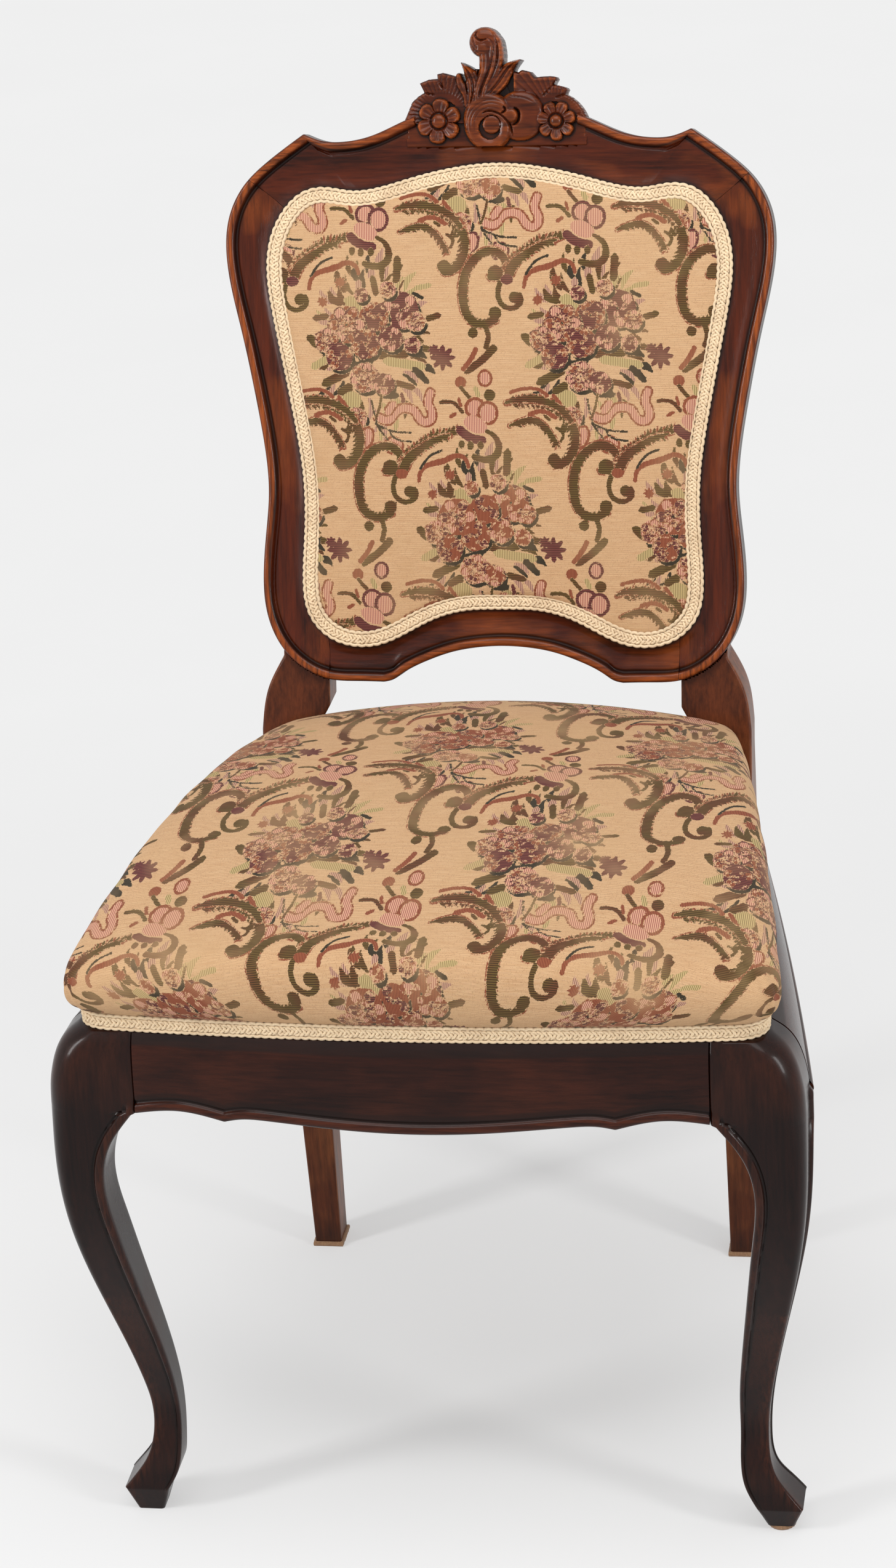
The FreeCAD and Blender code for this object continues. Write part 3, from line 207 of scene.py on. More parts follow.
def distance(points, line):
    """Distance of each point from a line, and the share of the line's length at its nearest place."""
    shape = points.shape[:-1]
    flat = points.reshape(-1, points.shape[-1])
    near = np.full(len(flat), 1e9)
    place = np.zeros(len(flat))
    run = lengths(line)
    for start, end, begin, finish in zip(line[:-1], line[1:], run[:-1], run[1:]):
        chord = end - start
        share = np.clip((flat - start) @ chord / max(chord @ chord, 1e-9), 0, 1)
        gap = np.linalg.norm(flat - start - share[:, None] * chord, axis=1)
        closer = gap < near
        near[closer] = gap[closer]
        place[closer] = (begin + (finish - begin) * share[closer]) / run[-1]
    return near.reshape(shape), place.reshape(shape)


def on_back(x, v, w):
    """Points of the back's plane as points of the chair."""
    x, v, w = np.broadcast_arrays(*(np.asarray(item, float) for item in (x, v, w)))
    rise, lean = math.cos(BACK_RAKE), math.sin(BACK_RAKE)
    return np.stack([x, BACK_REACH + v * lean - w * rise, BACK_HEIGHT + v * rise + w * lean], -1)


def grid_faces(rows, columns, ring=False, loop=False):
    """Quads over a grid of vertices. ring joins its last column to the first, loop its last row."""
    index = np.arange(rows * columns).reshape(rows, columns)
    if ring:
        index = np.concatenate([index, index[:, :1]], 1)
    if loop:
        index = np.concatenate([index, index[:1]], 0)
    return np.stack([index[:-1, :-1], index[:-1, 1:], index[1:, 1:], index[1:, :-1]], -1).reshape(-1, 4)


SHOWN_AS = {"polished_wood": "_shaped", "seat_tapestry": "_tapestry", "back_tapestry": "_tapestry",
            "braid": "_plait", "webbing": "_straps", "hessian": "_weave", "lining": "_cloth", "felt": "_felt"}


def make_piece(name, points, faces, finish, slot, replaces=(), masks=None, crease=None):
    """A piece of the chair from points in millimetres and faces, turned outward by the sign of its volume."""
    shown = name + SHOWN_AS[slot] if name in replaces else name
    points = np.asarray(points, float).reshape(-1, 3)
    faces = [np.asarray(part) for part in (faces if isinstance(faces, list) else [faces])]
    volume = 0.0
    for part in faces:
        corners = points[part]
        for corner in range(1, part.shape[1] - 1):
            normal = np.cross(corners[:, corner], corners[:, corner + 1])
            volume += np.einsum("ij,ij->i", corners[:, 0], normal).sum()
    if volume < 0:
        faces = [part[:, ::-1] for part in faces]
    mesh = bpy.data.meshes.new(shown)
    placed = (points + (0, SHIFT, 0)) * MM
    mesh.from_pydata(placed.tolist(), [], [face for part in faces for face in part.tolist()])
    mesh.polygons.foreach_set("use_smooth", np.ones(len(mesh.polygons), bool))
    if crease:
        mesh.set_sharp_from_angle(angle=math.radians(crease))
    for label, values in (masks or {}).items():
        values = np.asarray(values, float)
        kind = {1: "FLOAT", 3: "FLOAT_VECTOR", 4: "FLOAT_COLOR"}[1 if values.ndim == 1 else values.shape[1]]
        layer = mesh.attributes.new(label, kind, "POINT")
        field = {"FLOAT": "value", "FLOAT_VECTOR": "vector", "FLOAT_COLOR": "color"}[kind]
        layer.data.foreach_set(field, values.ravel())
    mesh.materials.append(finish)
    mesh.update()
    piece = bpy.data.objects.new(shown, mesh)
    bpy.context.scene.collection.objects.link(piece)
    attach(piece, "root")
    if replaces:
        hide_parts(*replaces)
    return piece


def capped(rows, columns):
    """Faces of a ringed grid and its two flat ends, each a fan about one more vertex after the grid."""
    faces = grid_faces(rows, columns, ring=True)
    turn = np.arange(columns)
    after = np.roll(turn, -1)
    low = np.stack([np.full(columns, rows * columns), after, turn], 1)
    last = (rows - 1) * columns
    high = np.stack([np.full(columns, rows * columns + 1), last + turn, last + after], 1)
    return [faces, np.concatenate([low, high])]


def with_ends(grid):
    """A ringed grid's points and the middles of its first and last rows."""
    return np.concatenate([grid.reshape(-1, grid.shape[-1]), grid[0].mean(0)[None], grid[-1].mean(0)[None]])


def edge_loop(count):
    """Vertices round the edge of a square grid, in order."""
    index = np.arange(count * count).reshape(count, count)
    return np.concatenate([index[0, :-1], index[:-1, -1], index[-1, :0:-1], index[:0:-1, 0]])


def closed_below(count):
    """Faces of a square grid and of a fan that closes it below, about one more vertex after the grid."""
    loop = edge_loop(count)
    fan = np.stack([np.full(len(loop), count * count), np.roll(loop, -1), loop], 1)
    return [grid_faces(count, count), fan]


def with_foot(grid):
    """A square grid's points and the middle of its edge."""
    edge = np.concatenate([grid[0], grid[-1], grid[:, 0], grid[:, -1]])
    return np.concatenate([grid.reshape(-1, grid.shape[-1]), edge.mean(0)[None]])


# Material nodes.


def fill(socket, value):
    """Fill a socket with a value, or link it from another node's output."""
    if isinstance(value, bpy.types.NodeSocket):
        socket.id_data.links.new(value, socket)
    else:
        socket.default_value = value


def fill_all(sockets, **values):
    """Fill sockets by their names, in which an underscore stands for a blank."""
    for name, value in values.items():
        fill(sockets[name.replace("_", " ")], value)


def node(tree, kind, **settings):
    """A node of a tree. Small letters name its settings, sockets go by name or as I0, I1 by number."""
    made = tree.nodes.new("ShaderNode" + kind)
    sockets = {}
    for name, value in settings.items():
        if hasattr(made, name) and not name[0].isupper():
            setattr(made, name, value)
        else:
            sockets[name.replace("_", " ")] = value
    for name, value in sockets.items():
        numbered = name[0] == "I" and name[1:].isdigit()
        fill(made.inputs[int(name[1:]) if numbered else name], value)
    return made


def maths(operation, first, second=0.0, third=0.0):
    """A Math node's output, in the tree of its first value or, if that is a number, of its second."""
    tree = (first if isinstance(first, bpy.types.NodeSocket) else second).id_data
    return node(tree, "Math", operation=operation, I0=first, I1=second, I2=third).outputs[0]


def times(first, second):
    """The product of two values."""
    return maths("MULTIPLY", first, second)


def plus(first, second):
    """The sum of two values."""
    return maths("ADD", first, second)


def minus(first, second):
    """The first value less the second."""
    return maths("SUBTRACT", first, second)


def ridge(value):
    """Ridges side by side: the size of a value's sine."""
    return maths("ABSOLUTE", maths("SINE", value))


def vectors(operation, first, second):
    """A Vector Math node's output."""
    return node(first.id_data, "VectorMath", operation=operation, I0=first, I1=second).outputs[0]


def axes(vector):
    """The three values of a vector."""
    return node(vector.id_data, "SeparateXYZ", Vector=vector).outputs


def attribute(tree, name):
    """Outputs of one of the piece's own attributes."""
    return node(tree, "Attribute", attribute_name=name).outputs


def own_place(tree):
    """Object coordinates."""
    return node(tree, "TexCoord").outputs["Object"]


def mixed(share, first, second):
    """Two colours mixed by a share."""
    return node(share.id_data, "Mix", data_type="RGBA", Factor=share, I6=first, I7=second).outputs[2]


def stretched(value, low, high, bottom=0.0, top=1.0):
    """A value's range from low to high spread over bottom to top, held at both ends."""
    made = node(value.id_data, "MapRange", Value=value, From_Min=low, From_Max=high, To_Min=bottom,
                To_Max=top)
    return made.outputs[0]


def noise(vector, scale, detail=3.0, roughness=0.55):
    """A noise pattern's value about a vector. Its scale is one number, or one for each axis."""
    if isinstance(scale, tuple):
        vector, scale = vectors("MULTIPLY", vector, scale), 1.0
    made = node(vector.id_data, "TexNoise", Vector=vector, Scale=scale, Detail=detail, Roughness=roughness)
    return made.outputs["Fac"]


def paint(red, green, blue):
    """A colour from its values on a screen, 0 to 255."""
    line = [value / 255 for value in (red, green, blue)]
    return tuple(v / 12.92 if v <= 0.04045 else ((v + 0.055) / 1.055) ** 2.4 for v in line) + (1.0,)


def group(name, inputs, outputs):
    """An empty node group, with its sockets by name and kind, and its two ends."""
    tree = bpy.data.node_groups.new(name, "ShaderNodeTree")
    kinds = {"value": "NodeSocketFloat", "colour": "NodeSocketColor", "vector": "NodeSocketVector"}
    for labels, way in ((inputs, "INPUT"), (outputs, "OUTPUT")):
        for label, kind in labels.items():
            tree.interface.new_socket(label, in_out=way, socket_type=kinds[kind])
    start, end = tree.nodes.new("NodeGroupInput"), tree.nodes.new("NodeGroupOutput")
    return tree, start.outputs, end.inputs


def place_group(tree, made, **sockets):
    """A node group placed in a material."""
    placed = tree.nodes.new("ShaderNodeGroup")
    placed.node_tree = made
    fill_all(placed.inputs, **sockets)
    return placed.outputs


def wood_grain_group():
    """Grain along the first axis: bands, streaks and fine pores, lighter where worn and by painted highlight,
    darker by grime and painted shade.
    """
    tree, start, end = group("wood_grain", {
        "Along": "vector", "Dark": "colour", "Middle": "colour", "Light": "colour",
        "Glaze": "value", "Rub": "value", "Patch": "value",
    }, {"Colour": "colour", "Roughness": "value", "Height": "value"})
    bands = noise(start["Along"], (5, 55, 55), 5.0, 0.6)
    streaks = noise(start["Along"], (28, 420, 420), 3.0, 0.6)
    pores = noise(start["Along"], (110, 2600, 2600), 2.0, 0.5)
    patches = noise(start["Along"], (9, 13, 13), 3.0, 0.6)
    figure = plus(times(bands, 0.62), times(streaks, 0.38))
    body = mixed(stretched(figure, 0.36, 0.62), start["Dark"], start["Middle"])
    # Wear with painted highlight: streaks lighter where the piece marks its edges or raised parts.
    wear_and_highlight_streaks = times(start["Rub"], stretched(streaks, 0.25, 0.6))
    glow = maths("MAXIMUM", times(stretched(patches, 0.50, 0.72), start["Patch"]), wear_and_highlight_streaks)
    body = mixed(times(glow, stretched(streaks, 0.2, 0.62, 0.45, 1.0)), body, start["Light"])
    pits = stretched(pores, 0.60, 0.70)
    body = mixed(times(pits, 0.30), body, start["Dark"])
    # Painted shade in recesses, mixed with real grime: darker towards a near-black brown and a little rougher,
    # broken by noise.
    uneven_shade_and_grime = plus(start["Glaze"], times(minus(patches, 0.5), 0.5))
    shade_and_grime_mask = times(stretched(uneven_shade_and_grime, 0.12, 0.75), stretched(start["Glaze"], 0.02, 0.3))
    rough = plus(plus(times(streaks, 0.10), times(shade_and_grime_mask, 0.16)), times(patches, 0.10))
    fill_all(end, Colour=mixed(times(shade_and_grime_mask, 0.85), body, paint(22, 12, 9)), Roughness=rough,
             Height=minus(times(figure, 0.4), times(pits, 0.5)))
    return tree


def cloth_weave_group():
    """Plain weave: threads of the two directions as sine ridges that pass over each other in turn."""
    tree, start, end = group("plain_weave", {"Threads": "vector", "Pitch": "value", "Slub": "value"},
                             {"Height": "value", "Gap": "value", "Thread tone": "value"})
    cells = node(tree, "VectorMath", operation="SCALE", I0=start["Threads"],
                 Scale=maths("DIVIDE", math.pi, start["Pitch"])).outputs[0]
    across, up = axes(cells)[:2]
    over = times(maths("COSINE", across), maths("COSINE", up))
    ridges = times(ridge(across), ridge(up))
    height = plus(ridges, times(over, 0.18))
    tone = noise(start["Threads"], (90, 1500, 90), 2.0)
    cross = noise(start["Threads"], (1500, 90, 90), 2.0)
    uneven = times(plus(tone, cross), 0.5)
    fill_all(end, Height=plus(height, times(uneven, start["Slub"])),
             Gap=stretched(ridges, 0.0, 0.32, 1.0, 0.0), Thread_tone=uneven)
    return tree


GRAIN = wood_grain_group()
WEAVE = cloth_weave_group()


def material(name):
    """A new material with its node tree and its Principled shader's sockets."""
    made = bpy.data.materials.new(name)
    made.use_nodes = True
    return made, made.node_tree, made.node_tree.nodes["Principled BSDF"].inputs


def bumped(height, strength, distance_mm):
    """A Bump node's normal from a height."""
    made = node(height.id_data, "Bump", Height=height, Strength=strength, Distance=distance_mm * MM)
    return made.outputs[0]


def wood(name, colours, patch, base_roughness, coat, grain=None, bump=0.25):
    """Wood in a dark, a middle and a light colour. grain is a frame node's axis, or the piece's own."""
    made, tree, shader = material(name)
    if grain is None:
        source = attribute(tree, "grain")["Vector"]
        # The piece's finish attribute holds painted shade with grime in its first channel, wear with painted
        # highlight in its second.
        shade_and_grime, rub = axes(attribute(tree, "finish")["Vector"])[:2]
    else:
        turn = {"x": (0, 0, 0), "z": (0, math.pi / 2, 0)}[grain]
        source = node(tree, "Mapping", Vector=own_place(tree), Rotation=turn).outputs[0]
        # Frame nodes: a little noise-broken grime everywhere, no painted shade or highlight.
        shade_and_grime, rub = 0.15, 0.0
    dark, middle, light = (paint(*colour) for colour in colours)
    found = place_group(tree, GRAIN, Along=source, Dark=dark, Middle=middle, Light=light, Glaze=shade_and_grime,
                        Rub=rub, Patch=patch)
    fill_all(shader, Base_Color=found["Colour"], Roughness=plus(found["Roughness"], base_roughness),
             Normal=bumped(found["Height"], bump, 0.25), Specular_IOR_Level=0.12, Coat_Weight=coat,
             Coat_Roughness=0.12, IOR=1.5)
    return made


BACK_WOOD = wood("polished_back_wood", ((34, 10, 4), (82, 31, 12), (156, 78, 32)), 0.7, 0.14, 0.16)
LEG_WOOD = wood("polished_leg_wood", ((16, 6, 5), (34, 14, 10), (74, 36, 20)), 0.45, 0.13, 0.14)
RAIL_WOOD = wood("polished_rail_wood", ((20, 6, 4), (46, 18, 10), (84, 38, 20)), 0.40, 0.16, 0.14)
POST_WOOD = wood("post_wood", ((50, 22, 10), (98, 48, 24), (160, 96, 54)), 0.6, 0.26, 0.12)
BARE_COLOURS = ((84, 58, 40), (126, 90, 62), (150, 112, 80))
PLAIN_WOOD = {axis: wood("bare_wood_along_" + axis, BARE_COLOURS, 0.4, 0.55, 0.0, axis, 0.35)
              for axis in "xz"}


# The back frame.


def half_line(shares, count):
    """Right half of a run of the back frame's outline: a spline that crosses the chair's middle squarely."""
    points = np.asarray(shares, float) * (FRAME_HALF_WIDTH, FRAME_HEIGHT) - (0, FRAME_DROP)
    other = points * (-1, 1)
    run = points
    if points[0, 0] == 0:
        run = np.concatenate([other[3:0:-1], run])
    if points[-1, 0] == 0:
        run = np.concatenate([run, other[-2:-5:-1]])
    line = spline(run, 4 * count)
    line = line[line[:, 0] > 0.05]
    if points[0, 0] == 0:
        line = np.concatenate([points[:1], line])
    if points[-1, 0] == 0:
        line = np.concatenate([line, points[-1:]])
    return along(line, np.linspace(0, 1, count))


def turn_of(points):
    """Angle of each point about the back's centre, in degrees."""
    return np.degrees(np.arctan2(points[:, 1] - BACK_CENTRE[1], points[:, 0] - BACK_CENTRE[0]))


def at_turn(line, turns):
    """Points of a line at given angles about the back's centre."""
    own = turn_of(line)
    return np.stack([np.interp(turns, own, line[:, 0]), np.interp(turns, own, line[:, 1])], 1)


def outward_of(line):
    """Normals of a line in plan or in the back's plane, pointing to its right as it runs."""
    way = np.gradient(line, axis=0)
    normal = np.stack([way[:, 1], -way[:, 0]], 1)
    return normal / np.linalg.norm(normal, axis=1)[:, None]


def joint_turn(line):
    """Angle about the back's centre at which a line passes the lower joint."""
    above = line[:, 1] > 0
    return turn_of(line[np.argmin(abs(line[:, 0] - JOINT_X) + 99 * above)][None])[0]


OUTER_LINE = np.concatenate([half_line(run, 300) for run in (ARCH_SHARES, SIDE_SHARES, TOP_SHARES)])
INNER_LINE = half_line(BRAID_LINE_SHARES, 700)[::-1]
BRAID_LOOP = np.concatenate([INNER_LINE, INNER_LINE[-2:0:-1] * (-1, 1)])
BRAID_OUTWARD = outward_of(np.concatenate([BRAID_LOOP[-1:], BRAID_LOOP, BRAID_LOOP[:1]]))[1:-1]
LOWER_TURN = (joint_turn(OUTER_LINE), joint_turn(INNER_LINE))
UPPER_TURN = turn_of(np.asarray(UPPER_JOINT_SHARES) * (FRAME_HALF_WIDTH, FRAME_HEIGHT) - (0, FRAME_DROP))
# Steps in from the frame's outline and levels of its outer wall, bead and groove.
BEAD_SECTION = np.array((
    (0.6, -24.0), (0.0, -23.2), (0.0, -17.0), (0.0, -10.0), (0.0, -4.6), (0.02, -2.5), (0.35, -1.35),
    (1.0, -0.55), (2.0, -0.08), (3.2, 0.0), (4.5, -0.15), (5.6, -0.6), (6.5, -1.5), (7.1, -2.8), (7.4, -4.4),
    (7.75, -5.7), (8.4, -6.0), (9.2, -5.7), (10.2, -5.3), (11.4, -5.3),
))
DISH_DEPTH = 1.9


def frame_section(outer, inner, outer_square, inner_square):
    """Rows of the frame's section: a bead, a groove, a shallow dish, the rebate and the rear."""
    rows = len(outer)
    across = inner - outer
    band = np.linalg.norm(across, axis=1)
    across /= band[:, None]
    spread = 1 / outer_square
    places = [np.outer(spread, BEAD_SECTION[:, 0])]
    levels = [np.tile(BEAD_SECTION[:, 1], (rows, 1))]
    share = np.linspace(0, 1, 14)[1:]
    start = BEAD_SECTION[-1, 0] * spread
    places.append(start[:, None] + (band - start)[:, None] * share)
    levels.append(np.tile(-5.3 + 0.3 * share - DISH_DEPTH * np.sin(math.pi * share) ** 1.2, (rows, 1)))
    floor = REBATE_WIDTH / inner_square
    last = [(band, FACE_W - 0.25), (band + 0.25, REBATE_W), (band + floor * 0.5, REBATE_W),
            (band + floor, REBATE_W), (band + floor, -12.0), (band + floor, -18.0),
            (band + floor, REAR_W + 0.7), (band + floor - 0.7, REAR_W), (band + floor * 0.5, REAR_W),
            (band * 0.5, REAR_W)]
    places.append(np.stack([place for place, _ in last], 1))
    levels.append(np.tile([level for _, level in last], (rows, 1)))
    place, level = np.concatenate(places, 1), np.concatenate(levels, 1)
    points = outer[:, None] + across[:, None] * place[..., None]
    return points, level, place, band


def squareness(line, points, across):
    """Cosine between the way across the frame and the outline's own normal."""
    way = np.gradient(line, axis=0)
    way /= np.maximum(np.linalg.norm(way, axis=1), 1e-9)[:, None]
    at = np.searchsorted(turn_of(line), turn_of(points)).clip(0, len(line) - 1)
    return np.clip(abs(across[:, 0] * way[at][:, 1] - across[:, 1] * way[at][:, 0]), 0.6, 1)


def add_wood(name, points, grain, shade_and_grime, rub, finish, crease, mirror=False):
    """A piece of polished wood from rows of rings with closed ends, its grain, painted shade in its recesses
    with grime, and worn edges with painted highlights.
    """
    # Its finish attribute: painted shade with grime, then wear with painted highlight, then nothing.
    masks = {"grain": with_ends(np.stack(grain, -1) * MM),
             "finish": with_ends(np.stack([shade_and_grime, rub, np.zeros_like(rub)], -1))}
    solid = with_ends(points) * ((-1, 1, 1) if mirror else (1, 1, 1))
    make_piece(name, solid, capped(*points.shape[:2]), finish, "polished_wood", (name,), masks, crease)


def add_member(name, turns, upright=False, mirror=False, both=False):
    """One member of the back frame: its section swept along outline and braid line between joints."""
    line = OUTER_LINE[(turn_of(OUTER_LINE) > turns[0]) & (turn_of(OUTER_LINE) < turns[1])]
    ends = at_turn(OUTER_LINE, np.array(turns))
    line = np.concatenate([ends[:1], line, ends[1:]])
    outer = along(line, np.linspace(0, 1, int(lengths(line)[-1] / MEMBER_STEP)))
    inner = at_turn(INNER_LINE, np.interp(turn_of(outer), (-90, LOWER_TURN[0], UPPER_TURN[0], 90),
                                          (-90, LOWER_TURN[1], UPPER_TURN[1], 90)))
    if both:
        order = slice(None, None, -1) if turns[0] < 0 else slice(None)
        outer, inner = (np.concatenate([half[order], half[order][-2::-1] * (-1, 1)])
                        for half in (outer, inner))
    right, right_inner = (np.column_stack([abs(part[:, 0]), part[:, 1]]) for part in (outer, inner))
    across = (right_inner - right) / np.linalg.norm(right_inner - right, axis=1)[:, None]
    points, level, place, band = frame_section(outer, inner, squareness(OUTER_LINE, right, across),
                                               squareness(INNER_LINE, right_inner, across))
    under_carving = (abs(points[..., 0]) < CREST_HALF_WIDTH - 9) & (points[..., 1] > CREST_FOOT + 6)
    level = np.where(under_carving, np.minimum(level, UNDER_CARVING_LEVEL), level)
    # Painted shade: darker in the groove, on the outer wall and in the rebate; the dark seam at the joints is
    # real.
    groove = np.exp(-((place - 8.4) / 1.7) ** 2) * (level > -7)
    seam = np.exp(-((place - band[:, None]) / 2.2) ** 2)
    sides = blend(-2.6, -7.0, level) * (place < 1)
    shade_and_grime = np.clip(groove * 0.9 + seam * 0.8 + sides * 0.45 + (level <= REBATE_W) * 0.4, 0, 1)
    # Painted highlight with wear: the highest faces, the bead's crown, are lighter.
    rub = blend(-1.2, -0.1, level) * 0.8
    x, v = points[..., 0], points[..., 1]
    grain = (v, x, level) if upright else (x, v, level)
    add_wood(name, on_back(x, v, level), grain, shade_and_grime, rub, BACK_WOOD, 48, mirror)


SAW_GAP = 0.03
MEMBER_STEP = 1.05
UNDER_CARVING_LEVEL = -10.0
add_member("back_lower_rail", (-90, LOWER_TURN[0] - SAW_GAP), both=True)
for side, mirror in SIDES:
    add_member("back_stile_" + side, (LOWER_TURN[0] + SAW_GAP, UPPER_TURN[0] - SAW_GAP), True, mirror)
add_member("crest_rail", (UPPER_TURN[0] + SAW_GAP, 90), both=True)


# The seat's rails and the front legs.


def seat_runs(inset):
    """The seat's plan as poles of Bezier curves: bowed front, corner, bowed side, corner and rear."""
    front = np.array((KNEE_X - SIDE_INSET - inset, KNEE_Y + FRONT_INSET + inset))
    rear_y = REAR_REACH + REAR_RAIL_THICKNESS - max(inset, 0)
    rear = np.array((REAR_HALF_WIDTH - REAR_SIDE_INSET - inset, rear_y))
    chord = (rear - front) / np.linalg.norm(rear - front)
    front_mid = np.array((0, front[1] - 2 * FRONT_BOW))
    side_mid = (front + rear) / 2 + np.array((chord[1], -chord[0])) * 2 * SIDE_BOW

    def towards(start, end, distance_along):
        return start + (end - start) / np.linalg.norm(end - start) * distance_along

    def meet(one, one_to, two, two_to):
        share = np.linalg.solve(np.stack([one_to - one, two - two_to], 1), two - one)[0]
        return one + (one_to - one) * share

    front_end, side_start = towards(front, front_mid, SEAT_CORNER), towards(front, side_mid, SEAT_CORNER)
    side_end, rear_start = towards(rear, side_mid, SEAT_REAR_CORNER), rear - (SEAT_REAR_CORNER, 0)
    front_corner = meet(front_mid, front_end, side_mid, side_start)
    rear_corner = meet(side_mid, side_end, rear_start, rear)
    return (((-front_end[0], front_end[1]), front_mid, front_end), (front_end, front_corner, side_start),
            (side_start, side_mid, side_end), (side_end, rear_corner, rear_start),
            (rear_start, (0, rear_start[1]), (-rear_start[0], rear_start[1])))


def bezier(poles, shares):
    """Points of a Bezier curve of three poles."""
    start, middle, end = (np.asarray(pole, float) for pole in poles)
    share = np.asarray(shares)[:, None]
    return start * (1 - share) ** 2 + 2 * middle * share * (1 - share) + end * share ** 2


RUN_SHARES = np.linspace(-0.06, 1.06, 300)
SIDE_RUN = bezier(seat_runs(0)[2], RUN_SHARES)
FRONT_RUN = bezier(seat_runs(0)[0], RUN_SHARES)


def braid_x(y):
    """Outer line of the seat's braid along a side."""
    return np.interp(y, SIDE_RUN[:, 1], SIDE_RUN[:, 0])


def braid_y(x):
    """Outer line of the seat's braid along the front."""
    return np.interp(x, FRONT_RUN[:, 0], FRONT_RUN[:, 1])


def rounded_ring(corners, radii, edge_points, arc_points):
    """Rows of closed outlines with rounded corners, by even points on each edge and corner arc."""
    parts = []
    for index in range(4):
        after_index = (index + 1) % 4
        here, before, after = corners[:, index], corners[:, index - 1], corners[:, after_index]
        radius, next_radius = radii[:, index][:, None], radii[:, after_index][:, None]
        to_before = (before - here) / np.linalg.norm(before - here, axis=1)[:, None]
        to_after = (after - here) / np.linalg.norm(after - here, axis=1)[:, None]
        for turn in np.linspace(0, math.pi / 2, arc_points[index]):
            way = to_before * (1 - math.sin(turn)) + to_after * (1 - math.cos(turn))
            parts.append(here + way * radius)
        start, end = here + to_after * radius, after - to_after * next_radius
        parts += [start + (end - start) * share for share in np.linspace(0, 1, edge_points[index] + 2)[1:-1]]
    return np.stack(parts, 1)


def lip_profile(gap, width, proud):
    """Rounded lip along an edge with a narrow groove beside it, by the distance from the edge."""
    share = np.clip(gap / np.maximum(width, 1e-6), 0, 1)
    lip = proud * np.sqrt(np.clip(1 - (2 * share - 1) ** 4, 0, 1)) * (gap < width)
    groove = -0.34 * proud * np.exp(-((gap - width * 1.16) / (0.14 * width)) ** 2)
    return lip + groove


SMALL_ROUND = 2.5
FOOT_SET_IN = 7
KNEE_TOP = RAIL_BOTTOM - 1.5
KNEE_TOP_WIDTH = 62.5


def leg_rows(foot_z):
    """Front leg by height: its four corners in plan and their rounding."""
    stations = [(foot_z, LEG_SWEEP * TOE_SWEEP_SHARE + FOOT_SET_IN,
                 LEG_SET_BACK * TOE_SET_BACK_SHARE + FOOT_SET_IN, FOOT_BOTTOM_WIDTH, SMALL_ROUND),
                (TOE_HEIGHT, LEG_SWEEP * TOE_SWEEP_SHARE, LEG_SET_BACK * TOE_SET_BACK_SHARE, TOE_WIDTH,
                 SMALL_ROUND)]
    stations += [(RAIL_LEDGE * height, LEG_SWEEP * sweep, LEG_SET_BACK * back, KNEE_BLOCK * width,
                  max(KNEE_BLOCK * KNEE_ROUND_SHARE * turn, SMALL_ROUND))
                 for height, sweep, back, width, turn in LEG_STATION_SHARES]
    stations.append((KNEE_TOP, 0.0, 0.0, KNEE_TOP_WIDTH, KNEE_BLOCK * KNEE_ROUND_SHARE))
    stations = np.array(stations)
    heights = np.concatenate([np.linspace(foot_z, TOE_HEIGHT, 16)[:-1],
                              np.linspace(TOE_HEIGHT, KNEE_TOP, 250)])
    curved = cubic(stations[1:, 0], stations[1:, 1:], np.maximum(heights, TOE_HEIGHT))
    toe = np.stack([np.interp(heights, stations[:2, 0], stations[:2, column]) for column in (1, 2, 3, 4)], 1)
    values = np.where((heights < TOE_HEIGHT)[:, None], toe, curved)
    sweep, back, width, turn = values.T
    sweep, back = np.maximum(sweep, 0), np.maximum(back, 0)
    high_x, front = KNEE_X - sweep, KNEE_Y + back
    depth = np.minimum(width, KNEE_BLOCK_DEPTH - 0.6)
    low_x, rear = high_x - width, front + depth
    corners = np.stack([high_x, front, high_x, rear, low_x, rear, low_x, front], 1).reshape(-1, 4, 2)
    rise = np.concatenate([np.linspace(0, 1, 44), np.ones(2)])
    top_heights = np.concatenate([RAIL_BOTTOM + (RAIL_LEDGE - RAIL_BOTTOM) * rise[:44],
                                  (RAIL_LEDGE + 0.5, RAIL_TOP)])
    inset = cubic(SHOULDER_SHARES[:, 0], SHOULDER_SHARES[:, 1:], rise)
    square = np.array(((KNEE_X, KNEE_Y), (KNEE_X, BLOCK_Y), (BLOCK_X, BLOCK_Y), (BLOCK_X, KNEE_Y)))
    ledge = np.array(((KNEE_X - SIDE_INSET, KNEE_Y + FRONT_INSET), (braid_x(BLOCK_Y), BLOCK_Y),
                      (BLOCK_X, BLOCK_Y), (BLOCK_X, braid_y(BLOCK_X))))
    block = square + (ledge - square) * inset[:, :, None]
    block[-2:] += np.array(((-5.0, 5.0), (-5.0, 0), (0, 0), (0, 5.0)))
    corners = np.concatenate([corners, block])
    heights = np.concatenate([heights, top_heights])
    outer_turn = np.concatenate([turn, np.full(len(rise), KNEE_BLOCK * KNEE_ROUND_SHARE)])
    radii = np.stack([outer_turn] + [np.full_like(outer_turn, SMALL_ROUND)] * 3, 1)
    return heights, corners, radii


